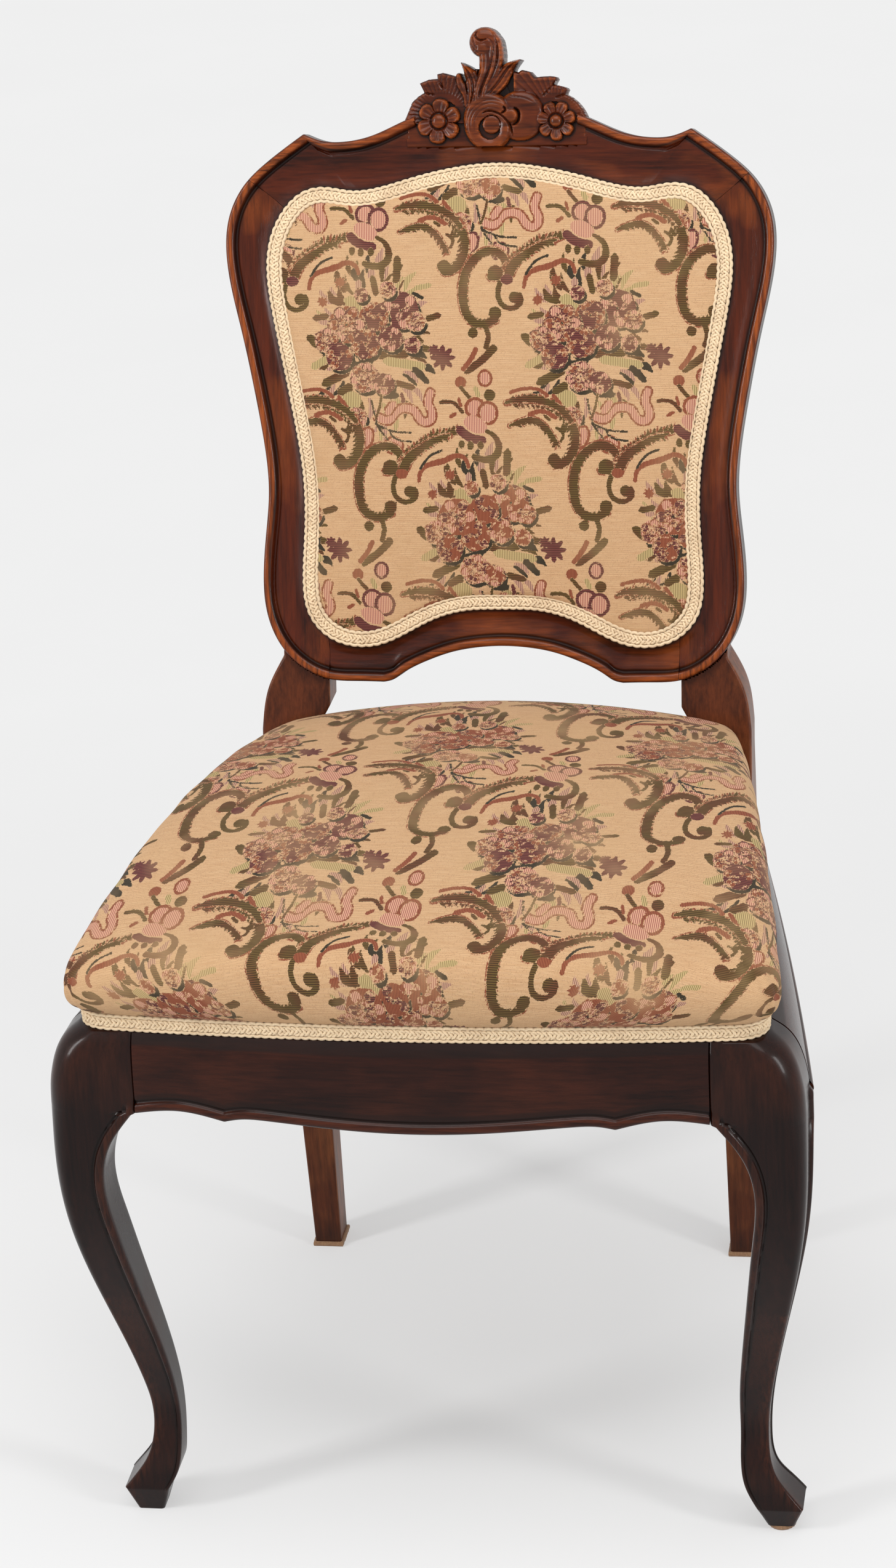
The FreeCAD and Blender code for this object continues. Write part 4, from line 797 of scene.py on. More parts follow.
def front_leg(side, mirror, foot_z):
    """Front leg: square sections along a double curve, a rounded corner and lips on its rear edges."""
    heights, corners, radii = leg_rows(foot_z)
    ring = rounded_ring(corners, radii, (30, 10, 10, 34), (16, 4, 4, 4))
    level = np.repeat(heights[:, None], ring.shape[1], 1)
    fall = np.gradient(corners[:, 3, 0], heights)[:, None]
    inner_gap = (ring[..., 0] - corners[:, 3, 0][:, None]) / np.sqrt(1 + fall ** 2)
    side_fall = np.gradient(corners[:, 1, 1], heights)[:, None]
    rear_gap = (corners[:, 1, 1][:, None] - ring[..., 1]) / np.sqrt(1 + side_fall ** 2)
    share = blend(20, 340, heights)[:, None]
    lip_width, proud = 2.6 + 4.4 * share, 0.9 + 1.6 * share
    fade = (1 - blend(RAIL_BOTTOM + 2, RAIL_BOTTOM + 9, heights))[:, None] * blend(14, 26, heights)[:, None]
    near_front = blend(1.5, 0.2, abs(ring[..., 1] - corners[:, 3, 1][:, None]) - radii[:, 3][:, None])
    near_side = blend(1.5, 0.2, abs(ring[..., 0] - corners[:, 1, 0][:, None]) - radii[:, 1][:, None])
    front_lift = lip_profile(inner_gap, lip_width, proud) * near_front * fade
    side_lift = lip_profile(rear_gap, lip_width, proud) * near_side * fade
    points = np.stack([ring[..., 0] + side_lift, ring[..., 1] - front_lift, level], -1)
    lift = np.maximum(front_lift, side_lift)
    # Painted shade: darker in the groove beside each lip and on the leg's inner faces; also darker towards the
    # foot.
    hollow = np.exp(-((inner_gap - lip_width * 1.2) / 1.6) ** 2) * near_front * fade
    hollow = np.maximum(hollow, np.exp(-((rear_gap - lip_width * 1.2) / 1.6) ** 2) * near_side * fade)
    inside = np.clip(1 - near_front - near_side, 0, 1)
    foot = 1 - blend(4, 22, level)
    shade_and_grime = np.clip(hollow * 0.8 + inside * 0.35 + foot * 0.5, 0, 1)
    # Wear with painted highlight: the lips and, below 200 mm, the rounded outer front corner are lighter.
    corner_gap = np.hypot(ring[..., 0] - corners[:, 0, 0][:, None], ring[..., 1] - corners[:, 0, 1][:, None])
    rub = np.clip(lift / 2.5, 0, 1) * 0.5 + np.exp(-(corner_gap / 7) ** 2) * 0.55 * (heights < 200)[:, None]
    add_wood("front_leg_" + side, points, (level, points[..., 0], points[..., 1]), shade_and_grime, np.clip(rub, 0, 1),
             LEG_WOOD, 50, mirror)


for (side, mirror), foot_height in zip(SIDES, (PAD_THICKNESS, 0)):
    front_leg(side, mirror, foot_height)


def apron_line():
    """Lower edge of the front rail, right half, from the middle out to the knee block."""
    cusp = (APRON_CUSP, RAIL_BOTTOM - APRON_ARCH / 2)
    crown = (APRON_CUSP + (BLOCK_X - APRON_CUSP) / 2, RAIL_BOTTOM + APRON_ARCH)
    swell = np.array([(APRON_CUSP * x, RAIL_BOTTOM + APRON_ARCH * arch - APRON_DROP * drop)
                      for x, arch, drop in APRON_SHARES[::-1]] + [cusp])
    swell = spline(np.concatenate([swell[:0:-1] * (-1, 1), swell]), 300)[150:]
    arch = spline([cusp, crown, (BLOCK_X, RAIL_BOTTOM)], 60)
    return np.concatenate([swell, arch[1:]])


LIP_POINTS = 9
SHOULDER_POINTS = 22
GROOVE_STEPS = ((-0.7, 0.7), (-0.8, 1.5), (-0.2, 2.6))
# Columns of the rail's section: groove, shoulder foot and ledge darkened by painted shade; the lip's front
# lightened by wear and painted highlight.
GROOVE_COLUMNS, FOOT_COLUMNS, LEDGE_COLUMNS = slice(9, 12), slice(12, 14), slice(30, 34)
WORN_AND_HIGHLIT_COLUMNS = slice(3, 7)


def rail_piece(name, places, outer, ledge, inner, bottom, side_rail=False, mirror=False):
    """A seat rail: rows along it, each a lip, groove, shoulder, ledge, deck, inner face and underside."""
    angle = np.linspace(-math.pi / 2, math.pi / 2, LIP_POINTS)
    lip = (outer[:, None] + LIP_PROUD * np.cos(angle), bottom[:, None] + (np.sin(angle) + 1) / 2 * LIP_HEIGHT)
    start = bottom + LIP_HEIGHT
    low = (start + 3.4 - RAIL_BOTTOM) / (RAIL_LEDGE - RAIL_BOTTOM)
    rise = low[:, None] + (1 - low)[:, None] * np.linspace(0, 1, SHOULDER_POINTS)
    inset = cubic(SHOULDER_SHARES[:, 0], SHOULDER_SHARES[:, 1:], np.clip(rise, 0, 1).ravel())[:, 0]
    shoulder = (outer[:, None] + (ledge - outer)[:, None] * inset.reshape(rise.shape),
                RAIL_BOTTOM + (RAIL_LEDGE - RAIL_BOTTOM) * rise)
    deck = ledge - BRAID_THICKNESS - 2 * COVER

    def corners(*places_of_two):
        return [np.stack([np.broadcast_to(two[axis], outer.shape) for two in places_of_two], 1)
                for axis in (0, 1)]

    groove = corners(*((outer + depth, start + height) for depth, height in GROOVE_STEPS))
    rest = corners((ledge - 1.5, RAIL_LEDGE), (deck, RAIL_LEDGE), (deck, RAIL_TOP), (inner, RAIL_TOP),
                   (inner, 405), (inner, 385), (inner, bottom + 0.6), (inner + 0.6, bottom),
                   ((inner + outer) / 2, bottom))
    out, up = (np.concatenate(parts, 1) for parts in zip(lip, groove, shoulder, rest))
    run = np.repeat(places[:, None], out.shape[1], 1)
    shade_and_grime, rub = np.zeros_like(out), np.zeros_like(out)
    # Painted shade in the groove above the lip, at the foot of the shoulder and at its top under the braid.
    shade_and_grime[:, GROOVE_COLUMNS] = 0.85
    shade_and_grime[:, FOOT_COLUMNS] = 0.5
    shade_and_grime[:, LEDGE_COLUMNS] = 0.6
    # Wear with painted highlight along the front of the lip.
    rub[:, WORN_AND_HIGHLIT_COLUMNS] = 0.55
    points = np.stack([out, run, up] if side_rail else [run, -out, up], -1)
    add_wood(name, points, (run, up, out), shade_and_grime, rub, RAIL_WOOD, 50, mirror)


RAIL_GAP = 0.15
apron = apron_line()
half_places = np.linspace(0, BLOCK_X - RAIL_GAP, 190)
places = np.concatenate([-half_places[:0:-1], half_places])
rail_piece("front_rail", places, -KNEE_Y + FRONT_BOW * (1 - (places / BLOCK_X) ** 2), -braid_y(places),
           np.full_like(places, -FRONT_INNER_Y), np.interp(abs(places), apron[:, 0], apron[:, 1]))

places = np.linspace(BLOCK_Y + RAIL_GAP, REAR_REACH - RAIL_GAP, 120)
share = (places - BLOCK_Y) / (REAR_REACH - BLOCK_Y)
side_outer = KNEE_X + (REAR_HALF_WIDTH + RAIL_REAR_PROUD - KNEE_X) * share
side_outer = side_outer + 4 * SIDE_BOW * share * (1 - share)
side_inner = braid_x(BLOCK_Y) * (1 - share) + braid_x(REAR_REACH) * share
side_inner = side_inner - BRAID_THICKNESS - COVER - RAIL_CORE
for side, mirror in SIDES:
    rail_piece("side_rail_" + side, places, side_outer, braid_x(places), side_inner,
               np.full_like(places, RAIL_BOTTOM), True, mirror)


# The rear legs with their posts.


def lean_y(height, behind):
    """Depth of a plane behind the back's own plane at a height."""
    v = (height - BACK_HEIGHT + behind * math.sin(BACK_RAKE)) / math.cos(BACK_RAKE)
    return BACK_REACH + v * math.sin(BACK_RAKE) + behind * math.cos(BACK_RAKE)


def lean_z(y, behind):
    """Height at which a plane behind the back's own plane is at a depth."""
    v = (y - BACK_REACH - behind * math.cos(BACK_RAKE)) / math.sin(BACK_RAKE)
    return BACK_HEIGHT + v * math.cos(BACK_RAKE) - behind * math.sin(BACK_RAKE)


POST_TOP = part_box("rear_leg_right")[1].z / MM
POST_RISE = POST_TOP - RAIL_TOP
BREAK_Z = lean_z(REAR_REACH, POST_SET_BACK) - REAR_LEG_STRAIGHT


def post_line(shares):
    """A line of the post's front view from its shares of width and rise."""
    width = REAR_HALF_WIDTH - POST_BRACKET
    return [(POST_BRACKET + width * x, RAIL_TOP + POST_RISE * z) for x, z in shares]


POST_OUTSIDE = np.array([(REAR_HALF_WIDTH - REAR_FOOT_SET_IN, PAD_THICKNESS), (REAR_HALF_WIDTH, BREAK_Z)]
                        + [tuple(point) for point in spline(post_line(POST_OUTER_SHARES)[:3], 24)]
                        + post_line(POST_OUTER_SHARES)[3:])
POST_INSIDE = np.array([(REAR_HALF_WIDTH - REAR_FOOT_SET_IN - REAR_FOOT_WIDTH, PAD_THICKNESS),
                        (REAR_HALF_WIDTH - REAR_LEG_WIDTH, RAIL_BOTTOM)] + post_line(POST_INNER_SHARES[::-1]))


def post_front(height):
    """Depth of a rear leg's front face at a height: raked foot, upright middle, leaning post."""
    low = np.interp(height, (PAD_THICKNESS, BREAK_Z), (REAR_REACH + REAR_FOOT_KICK, REAR_REACH))
    return np.maximum(low, lean_y(height, POST_SET_BACK))


def post_rear(height):
    """Depth of a rear leg's back face at a height."""
    low = np.interp(height, (PAD_THICKNESS, BREAK_Z),
                    (REAR_REACH + REAR_FOOT_KICK + REAR_FOOT_DEPTH, REAR_REACH + REAR_LEG_DEPTH))
    return np.maximum(low, lean_y(height, POST_SET_BACK + POST_THICKNESS))


def clear_of_posts(points, gap):
    """Soft points that would lie inside a post, pressed forward to its front face."""
    inner = np.interp(points[..., 2], POST_INSIDE[:, 1], POST_INSIDE[:, 0]) - gap
    front = post_front(points[..., 2]) - gap
    pressed = (abs(points[..., 0]) > inner) & (points[..., 1] > front)
    points[..., 1] = np.where(pressed, front, points[..., 1])
    return points


def rear_leg(side, mirror):
    """Rear leg: a sawn front outline met by a sawn side profile, let in behind the back frame."""
    heights = np.concatenate([np.linspace(PAD_THICKNESS, 440, 120)[:-1], np.linspace(440, POST_TOP, 130)])
    x_out = np.interp(heights, POST_OUTSIDE[:, 1], POST_OUTSIDE[:, 0])
    x_in = np.interp(heights, POST_INSIDE[:, 1], POST_INSIDE[:, 0])
    front, back = post_front(heights), post_rear(heights)
    corners = np.stack([np.stack([x_out, front], 1), np.stack([x_out, back], 1), np.stack([x_in, back], 1),
                        np.stack([x_in, front], 1)], 1)
    ring = rounded_ring(corners, np.full((len(heights), 4), 1.8), (8, 8, 8, 40), (4, 4, 4, 4))
    level = np.repeat(heights[:, None], ring.shape[1], 1)
    v = (level - BACK_HEIGHT) * math.cos(BACK_RAKE) + (ring[..., 1] - BACK_REACH) * math.sin(BACK_RAKE)
    reach = np.interp(np.degrees(np.arctan2(v - BACK_CENTRE[1], ring[..., 0])), turn_of(OUTER_LINE),
                      np.linalg.norm(OUTER_LINE - BACK_CENTRE, axis=1))
    covered = np.hypot(ring[..., 0], v - BACK_CENTRE[1]) < reach + 0.3
    behind = lean_y(level, FRAME_THICKNESS + 0.3)
    y = np.where(covered & (level > 480), np.maximum(ring[..., 1], behind), ring[..., 1])
    y = np.minimum(y, np.maximum(back[:, None], behind))
    inside = blend(1.0, 0.2, abs(ring[..., 0] - x_in[:, None]))
    outside = blend(1.0, 0.2, abs(ring[..., 0] - x_out[:, None]))
    # Painted shade with grime over the whole leg, more towards the foot and less on the outer face; the inner
    # face up to 520 mm and the outer face are lighter by wear and painted highlight.
    shade_and_grime = 0.25 + 0.3 * (1 - blend(4, 30, level)) - 0.25 * outside
    rub = np.clip(0.55 * inside * (level < 520) + 0.35 * outside, 0, 1)
    add_wood("rear_leg_" + side, np.stack([ring[..., 0], y, level], -1), (level, ring[..., 0], y),
             np.clip(shade_and_grime, 0, 1), rub, POST_WOOD, 40, mirror)


for side, mirror in SIDES:
    rear_leg(side, mirror)


# The tapestry: a repeat of scrolls and a flower spray, drafted once and read by both covers.


REPEAT_WIDTH, REPEAT_HEIGHT = 170.0, 300.0
HALF_DROP = (85.0, 150.0)
DRAFT_STEP = 0.5
YARNS = "olrpmvkc"
# Shapes of the drawing: a yarn, a width or widths or an oval's two sizes and turn, and its points.
SCROLLS = (
    ("o", 10, (-41.5, 273.5)), ("r", 3, (-75, 326), (-61, 329), (-51, 327), (-46, 323)),
    ("r", 3, (-42, 324), (-36, 317)), ("r", 3.5, (-60, 309), (-50, 311), (-40, 306)),
    ("o", 2.5, (-49, 308), (-44, 304)), ("o", 2.5, (-39, 298), (-34, 293), (-36, 288)), ("o", 12, (-1, 268)),
    ("o", 10, (-1.4, 237)), ("o", 8, (-19, 222)), ("o", 4, (-9, 227), (-7, 219), (-9, 211)),
    ("o", 6, (-3, 210), (-12, 201), (-24, 193)), ("r", 4, (-17, 209), (-22, 200), (-27, 194)),
    ("r", (12, 14, 0), (-10, 187)), ("p", (8, 10, 0), (-10, 187)), ("r", 9, (-29, 184)),
    ("o", 3, (-29, 180), (-24, 174), (-20, 170)), ("o", 9, (-6.5, 174)), ("l", 4, (-18, 180), (-15, 173)),
    ("r", (17, 17, 0), (-18, 164)), ("p", (12, 12, 0), (-18, 164)), ("r", (17, 19, 0), (-8, 160)),
    ("p", (12, 14, 0), (-8, 160)), ("p", (20, 12, -25), (-18, 151)),
    ("m", 7, (-30, 147), (-24, 142), (-13, 139)), ("o", (5, 7, 0), (-29, 136)), ("o", (5, 7, 0), (-22, 135)),
    ("o", (5, 7, 0), (-14, 135)), ("o", 3, (-45, 168.6), (-35, 168), (-28, 161)),
    ("r", 3, (-38, 157), (-33, 160)), ("r", 2.5, (-31, 172), (-29, 165)),
    ("o", 4, (-81, 113), (-84, 103), (-81, 94), (-72, 91), (-66, 96), (-67, 101)), ("o", 9, (-71, 99)),
    ("r", (10, 8, 0), (-77, 113)),
    ("r", (3, 5, 3), (-63.6, 107), (-61, 116), (-52, 121), (-41, 124), (-33, 127), (-26, 124), (-24, 118)),
    ("k", 2, (-62, 117), (-54, 127), (-45, 131)),
    ("o", (5, 6, 3), (-19, 126), (-11, 124), (-2, 127), (0, 136), (-4, 143), (-9, 146)),
)
# Scroll leaves: a side, the lobes' reach, widths of the rib, and its points.
FRONDS = (
    (-1, 7, (2, 7, 5, 4), (-79, 317), (-61, 320), (-46, 317), (-35, 311), (-28, 303), (-24, 291), (-26, 279),
     (-33.6, 270), (-41, 268.6), (-44, 272)),
    (1, 4, (2, 6, 5, 4), (-79, 318), (-61, 321), (-46, 318), (-35, 312), (-28, 304)),
    (1, 5, (5, 6, 7, 5), (-5, 265), (4, 266), (8, 274), (5, 281), (-3.6, 285), (-13.6, 282), (-22, 273),
     (-26.4, 260), (-26.4, 247), (-23.6, 236), (-18, 230), (-8, 229), (-1, 232)),
    (1, 6, (9, 8, 5, 4, 3), (-76, 118.6), (-72, 126), (-62, 134), (-51, 141), (-38, 143.6), (-31, 146)),
    (-1, 5, (8, 7, 5, 3, 2), (-75, 118), (-71, 125), (-61, 133), (-50, 140), (-38, 143)),
    (-1, 5, (2, 4, 3, 2), (-76, 300), (-66, 304), (-55, 304), (-46, 297), (-41, 290), (-38, 284)),
)
SPRAY_LEAVES = (
    ("v", 5, (-109, 263), (-109, 251)), ("o", 5, (-98, 266), (-95, 252)), ("o", 6, (-78, 281), (-79, 262)),
    ("o", 5, (-145, 234), (-134, 236)), ("o", 6, (-150, 220), (-141, 214)), ("l", 9, (-119, 248), (-99, 241)),
    ("o", 5, (-56, 233), (-45, 236)), ("l", 4, (-64, 257), (-52, 259)), ("k", 3, (-66, 253), (-58, 249)),
    ("o", 7, (-138, 183), (-118, 193)), ("l", 6, (-147, 196), (-134, 203)), ("o", (32, 9, 0), (-84, 206)),
    ("l", 7, (-89, 201), (-58, 196)), ("k", 5, (-66, 195), (-55, 184)), ("o", 5, (-81, 184), (-66, 180)),
    ("k", 4, (-121, 197), (-99, 200)), ("l", (18, 15, 0), (-117, 170)), ("o", 6, (-126, 176), (-116, 182)),
    ("k", (12, 6, 0), (-84, 174)), ("m", 3, (-76, 176), (-74, 166)),
)
# Blooms: a place, a reach, a number of petals and two yarns.
SPRAY_BLOOMS = (
    (-76, 240, 15, 6, "mp"), (-97, 235, 12, 5, "rm"), (-119, 229, 15, 6, "rp"), (-135, 217, 10, 5, "pr"),
    (-104, 214, 12, 6, "rm"), (-125, 204, 11, 5, "mr"), (-84, 218, 10, 5, "mp"), (-64, 231, 8, 5, "rp"),
    (-105, 188, 12, 6, "pr"), (-90, 183, 9, 5, "mp"), (-112, 156.5, 8.5, 5, "pr"), (-67, 213, 7, 5, "pm"),
    (-86, 256, 7, 5, "pr"), (-107, 252, 6, 5, "mp"),
)
RIBBON = (
    (8.5, (-95, 157), (-86, 155), (-81, 161), (-74, 164), (-66, 162), (-60, 154), (-54, 154), (-52, 160),
     (-55, 168), (-53, 176)), (8, (-88, 160), (-82, 168)), ((13, 19, -20), (-105, 141)),
    ((17, 15, 0), (-83, 135)),
)
SPRAY_STEMS = (
    ("k", 1.6, (-97, 152), (-86, 147), (-69, 145)), ("k", 1.6, (-86, 147), (-85, 144), (-69, 138)),
    ("k", 1.6, (-97, 152), (-92, 145), (-88, 140)), ("k", 1.6, (-100, 170), (-98, 160), (-96, 152)),
    ("o", 2, (-92, 174), (-94, 164), (-97, 156)),
)
SPRAY_STARS = (("m", 10, (-43, 203)), ("m", 5, (-50, 209)), ("r", 5, (-123.6, 262)), ("r", 4.5, (-138, 247)))
SPRAY_MIDDLE = np.array((-98.0, 213.0))


def frond(side, reach, width, *points):
    """Shapes of a scroll leaf: lobes that lean forward on one side, 1 for the left, then its rib."""
    line, shapes = spline(np.array(points, float), 90), []
    travel = lengths(line)
    for place in np.arange(4, travel[-1] - 5, 4.4):
        root, ahead = along(line, np.array((place, place + 1)) / travel[-1])
        way = (ahead - root) / np.hypot(*(ahead - root))
        tip = root + (way * 0.8 + side * np.array((-way[1], way[0]))) * reach
        shapes += [("r", (2.6, 2.8, 0.8), root + way * 2, (root + tip) / 2 + way * 3.2, tip + way * 2.4),
                   ("o", (3, 3, 0.8), root, (root + tip) / 2 + way, tip)]
    return [("r", tuple(np.array(width) + 2.4), *points)] + shapes + [("o", width, *points)]


def spray_shapes():
    """Shapes of one flower spray: leaves round it by the golden angle, then blooms of oval petals."""
    shapes = []
    for index in range(70):
        turn = index * 2.39996
        way = np.array((math.cos(turn), math.sin(turn)))
        reach = 0.80 + 0.22 * ((index * 7) % 5) / 4
        root, tip = SPRAY_MIDDLE + way * (44, 66) * (reach - 0.16), SPRAY_MIDDLE + way * (50, 74) * reach
        bend = np.array((-way[1], way[0])) * 2.2
        width = (2, 4.6 + index % 3, 1.4)
        shapes.append(("ovlovko"[index % 7], width, root, (root + tip) / 2 + bend, tip))
    shapes += SPRAY_LEAVES
    for x, v, reach, petals, yarns in SPRAY_BLOOMS:
        centre = np.array((x, v), float)
        shapes += [("k", 2 * reach, centre + (1.5, -2.5)), (yarns[0], 2 * reach * 0.96, centre)]
        for index in range(2 * petals):
            ring, turn = index // petals, index * 360 / petals + x + index // petals * 180 / petals
            way = np.array((math.cos(math.radians(turn)), math.sin(math.radians(turn))))
            long, wide = reach * (0.62, 0.44)[ring], reach * math.sin(math.pi / petals) * (1.05, 0.6)[ring]
            petal = centre + way * reach * (0.64, 0.3)[ring]
            shapes.append(("m", (long * 1.26, wide * 1.34, turn), petal))
            shapes.append((yarns[(index + ring + 1) % 2], (long, wide, turn), petal))
            shapes.append(("p" if ring == 0 else "m", (long * 0.2, wide * 0.62, turn),
                           petal + way * long * 0.26))
            shapes.append(("m", (long * 0.5, 1.2, turn), petal - way * long * 0.2))
        shapes += [(yarns[0], (reach * 0.3, reach * 0.3, 0), centre),
                   ("k", (reach * 0.14, reach * 0.14, 0), centre)]
    for width, *points in RIBBON:
        inner = width - 3 if not isinstance(width, tuple) else (width[0] - 4, width[1] - 4, width[2])
        shapes += [("r", width, *points), ("p", inner, *points)]
    return shapes + list(SPRAY_STEMS)


def shape_field(points, width, places):
    """How far places lie inside a drafted shape: a disc, a turned oval or a swelling stroke."""
    points = np.asarray(points, float)
    if len(points) == 1:
        across, tall, turn = width if isinstance(width, tuple) else (width, width, 0)
        angle = math.radians(turn)
        offset = places - points[0]
        along_x = offset[..., 0] * math.cos(angle) + offset[..., 1] * math.sin(angle)
        along_y = -offset[..., 0] * math.sin(angle) + offset[..., 1] * math.cos(angle)
        return (1 - np.hypot(along_x / (across / 2), along_y / (tall / 2))) * min(across, tall) / 2
    line = spline(points, 8 * len(points)) if len(points) > 2 else points
    gap, place = distance(places, line)
    widths = width if isinstance(width, tuple) else (width, width)
    swell = np.interp(place, np.linspace(0, 1, len(widths)), widths)
    taper = np.sqrt(np.clip(1.25 - (2 * place - 1) ** 8, 0.25, 1)) if len(points) == 2 else 1
    return swell * taper / 2 - gap


def polar(places, centre):
    """Distances and angles of places about a centre."""
    offset = places - np.asarray(centre, float)
    return np.hypot(offset[..., 0], offset[..., 1]), np.arctan2(offset[..., 1], offset[..., 0])


def star_field(centre, reach, places):
    """A small flower of eight narrow petals: a rose curve about its centre."""
    radius, turn = polar(places, centre)
    return (reach * (0.45 + 0.55 * abs(np.cos(4 * turn))) - radius) * 0.6


def draft_tapestry():
    """Signed distances of the eight yarns over one repeat, each shape laid over those before it."""
    columns, rows = round(REPEAT_WIDTH / DRAFT_STEP), round(REPEAT_HEIGHT / DRAFT_STEP)
    field = np.full((len(YARNS), rows, columns), -9.0)
    shapes = [(entry, False) for entry in spray_shapes()] + [(entry, True) for entry in SPRAY_STARS]
    shapes += [(entry, False) for leaf in FRONDS for entry in frond(*leaf)]
    shapes += [(entry, False) for entry in SCROLLS]
    for (yarn, width, *points), star in shapes:
        spread = max(np.atleast_1d(width)[: 2 if len(points) == 1 else None]) * (1.4 if star else 0.6) + 4
        points = np.array(points, float)
        low = np.floor((points.min(0) - spread) / DRAFT_STEP).astype(int)
        high = np.ceil((points.max(0) + spread) / DRAFT_STEP).astype(int)
        across, up = np.arange(low[0], high[0]), np.arange(low[1], high[1])
        places = np.stack(np.meshgrid(across, up), -1) * DRAFT_STEP
        inside = star_field(points[0], width, places) if star else shape_field(points, width, places)
        for repeat in (0, 1):
            oval = isinstance(width, tuple) and len(points) == 1
            worn = {"r": "m", "m": "r"}.get(yarn, yarn) if oval and repeat else yarn
            shift = np.round(np.array(HALF_DROP) * repeat / DRAFT_STEP).astype(int)
            window = np.ix_((up + shift[1]) % rows, (across + shift[0]) % columns)
            for index, other in enumerate(YARNS):
                old = field[index][window]
                field[index][window] = np.maximum(old, inside) if other == worn else np.minimum(old, -inside)
    return np.clip(field, -3, 3)


DRAFT = draft_tapestry()


def yarn_colours(weave):
    """The eight yarns' signed distances at places of the cloth, as two colours of four channels each."""
    columns, rows = DRAFT.shape[2], DRAFT.shape[1]
    x, y = weave[..., 0].ravel() / DRAFT_STEP, weave[..., 1].ravel() / DRAFT_STEP
    left, low = np.floor(x).astype(int), np.floor(y).astype(int)
    share_x, share_y = x - left, y - low
    total = 0
    for step_x, part_x in ((0, 1 - share_x), (1, share_x)):
        for step_y, part_y in ((0, 1 - share_y), (1, share_y)):
            total = total + DRAFT[:, (low + step_y) % rows, (left + step_x) % columns] * part_x * part_y
    values = 0.5 + total.T / 6
    return values[:, :4], values[:, 4:]


RIB_PITCH, WARP_PITCH = 0.0007, 0.00045


def tapestry_group():
    """Yarns chosen by their distances, with each thread's own jitter, over a ribbed ground."""
    tree, start, end = group("tapestry_weave", {
        "Threads": "vector", "First yarns": "colour", "Fourth yarn": "value", "Later yarns": "colour",
        "Last yarn": "value", "Ageing": "value",
    }, {"Colour": "colour", "Height": "value", "Roughness": "value"})
    threads = start["Threads"]
    cell = vectors("SNAP", threads, (WARP_PITCH, RIB_PITCH, 1))
    white = node(tree, "TexWhiteNoise", noise_dimensions="2D", Vector=cell).outputs["Value"]
    row = noise(vectors("SNAP", threads, (WARP_PITCH, 2 * RIB_PITCH, 1)), (260, 900, 1))
    jitter = plus(times(minus(row, 0.5), 0.30), times(minus(white, 0.5), 0.08))
    first = node(tree, "SeparateColor", Color=start["First yarns"]).outputs
    later = node(tree, "SeparateColor", Color=start["Later yarns"]).outputs
    across, up = axes(threads)[:2]

    def stripes(value, pitch, sharp, dark, light):
        wave = maths("SINE", times(value, 2 * math.pi / pitch))
        return mixed(stretched(wave, -sharp, sharp), dark, light)

    def upright(dark, light):
        return stripes(across, 0.00135, 0.5, paint(*dark), paint(*light))

    rib = ridge(times(up, math.pi / RIB_PITCH))
    warp = ridge(times(across, math.pi / WARP_PITCH))
    tone = noise(threads, (60, 1300, 1), 2.0)
    cloud = noise(threads, (14, 14, 14))
    rust = stretched(noise(threads, (34, 34, 1), 2.0), 0.44, 0.62)
    # Painted shade in the ribbed ground: darker in the troughs between ribs, lighter on their crowns; the
    # later darkening by ribs and warp is painted shade too.
    colour = mixed(stretched(rib, 0.05, 0.75), paint(164, 122, 86), paint(222, 184, 142))
    colour = mixed(stretched(tone, 0.35, 0.68), colour, paint(200, 158, 116))
    colour = mixed(times(stretched(white, 0.86, 0.9), 0.35), colour, paint(160, 120, 84))
    olive = stripes(up, 0.0014, 0.6, paint(66, 46, 26), mixed(rust, paint(106, 86, 44), paint(112, 66, 42)))
    for inside, yarn in (
            (start["Last yarn"], paint(226, 200, 158)),
            (first[1], upright((204, 180, 128), (138, 118, 74))),
            (later[1], upright((206, 164, 136), (132, 88, 80))),
            (start["Fourth yarn"], upright((224, 176, 146), (158, 90, 78))),
            (first[2], stripes(across, 0.0011, 0.6, paint(112, 54, 38), paint(156, 90, 62))),
            (first[0], olive),
            (later[0], stripes(up, 0.0014, 0.6, paint(72, 34, 34), paint(118, 64, 58))),
            (later[2], paint(52, 46, 34))):
        colour = mixed(stretched(plus(inside, jitter), 0.48, 0.52), colour, yarn)
    shade = times(plus(rib, warp), 0.5)
    colour = mixed(stretched(shade, 0.1, 0.75, 0.30, 0.0), colour, paint(84, 62, 44))
    worn = times(stretched(cloud, 0.46, 0.72), start["Ageing"])
    fill_all(end, Colour=mixed(worn, colour, paint(196, 160, 118)), Height=plus(shade, times(white, 0.35)),
             Roughness=stretched(tone, 0.3, 0.7, 0.82, 0.96))
    return tree


TAPESTRY = tapestry_group()


def tapestry(name, ageing):
    """Tapestry cloth of one cover."""
    made, tree, shader = material(name)
    first, later = attribute(tree, "yarns_first"), attribute(tree, "yarns_later")
    found = place_group(tree, TAPESTRY, Threads=attribute(tree, "weave")["Vector"],
                        First_yarns=first["Color"], Fourth_yarn=first["Alpha"], Later_yarns=later["Color"],
                        Last_yarn=later["Alpha"], Ageing=ageing)
    fill_all(shader, Base_Color=found["Colour"], Roughness=found["Roughness"],
             Normal=bumped(found["Height"], 0.55, 0.28), Specular_IOR_Level=0.25, Sheen_Weight=0.04,
             Sheen_Roughness=0.5)
    return made


# The two stuffed covers.


def square_rings(count):
    """A square grid as rings: each point's ring, 0 at the middle to 1, and its place round it, 0 to 4."""
    side = np.linspace(-1, 1, count)
    a, b = np.meshgrid(side, side)
    ring = np.maximum(abs(a), abs(b))
    safe = np.maximum(ring, 1e-9)
    a, b = a / safe, b / safe
    edge = 1 - 1e-9
    place = np.where(b <= -edge, (a + 1) / 2, np.where(a >= edge, 1 + (b + 1) / 2,
                     np.where(b >= edge, 2 + (1 - a) / 2, 3 + (1 - b) / 2)))
    return ring, place % 4


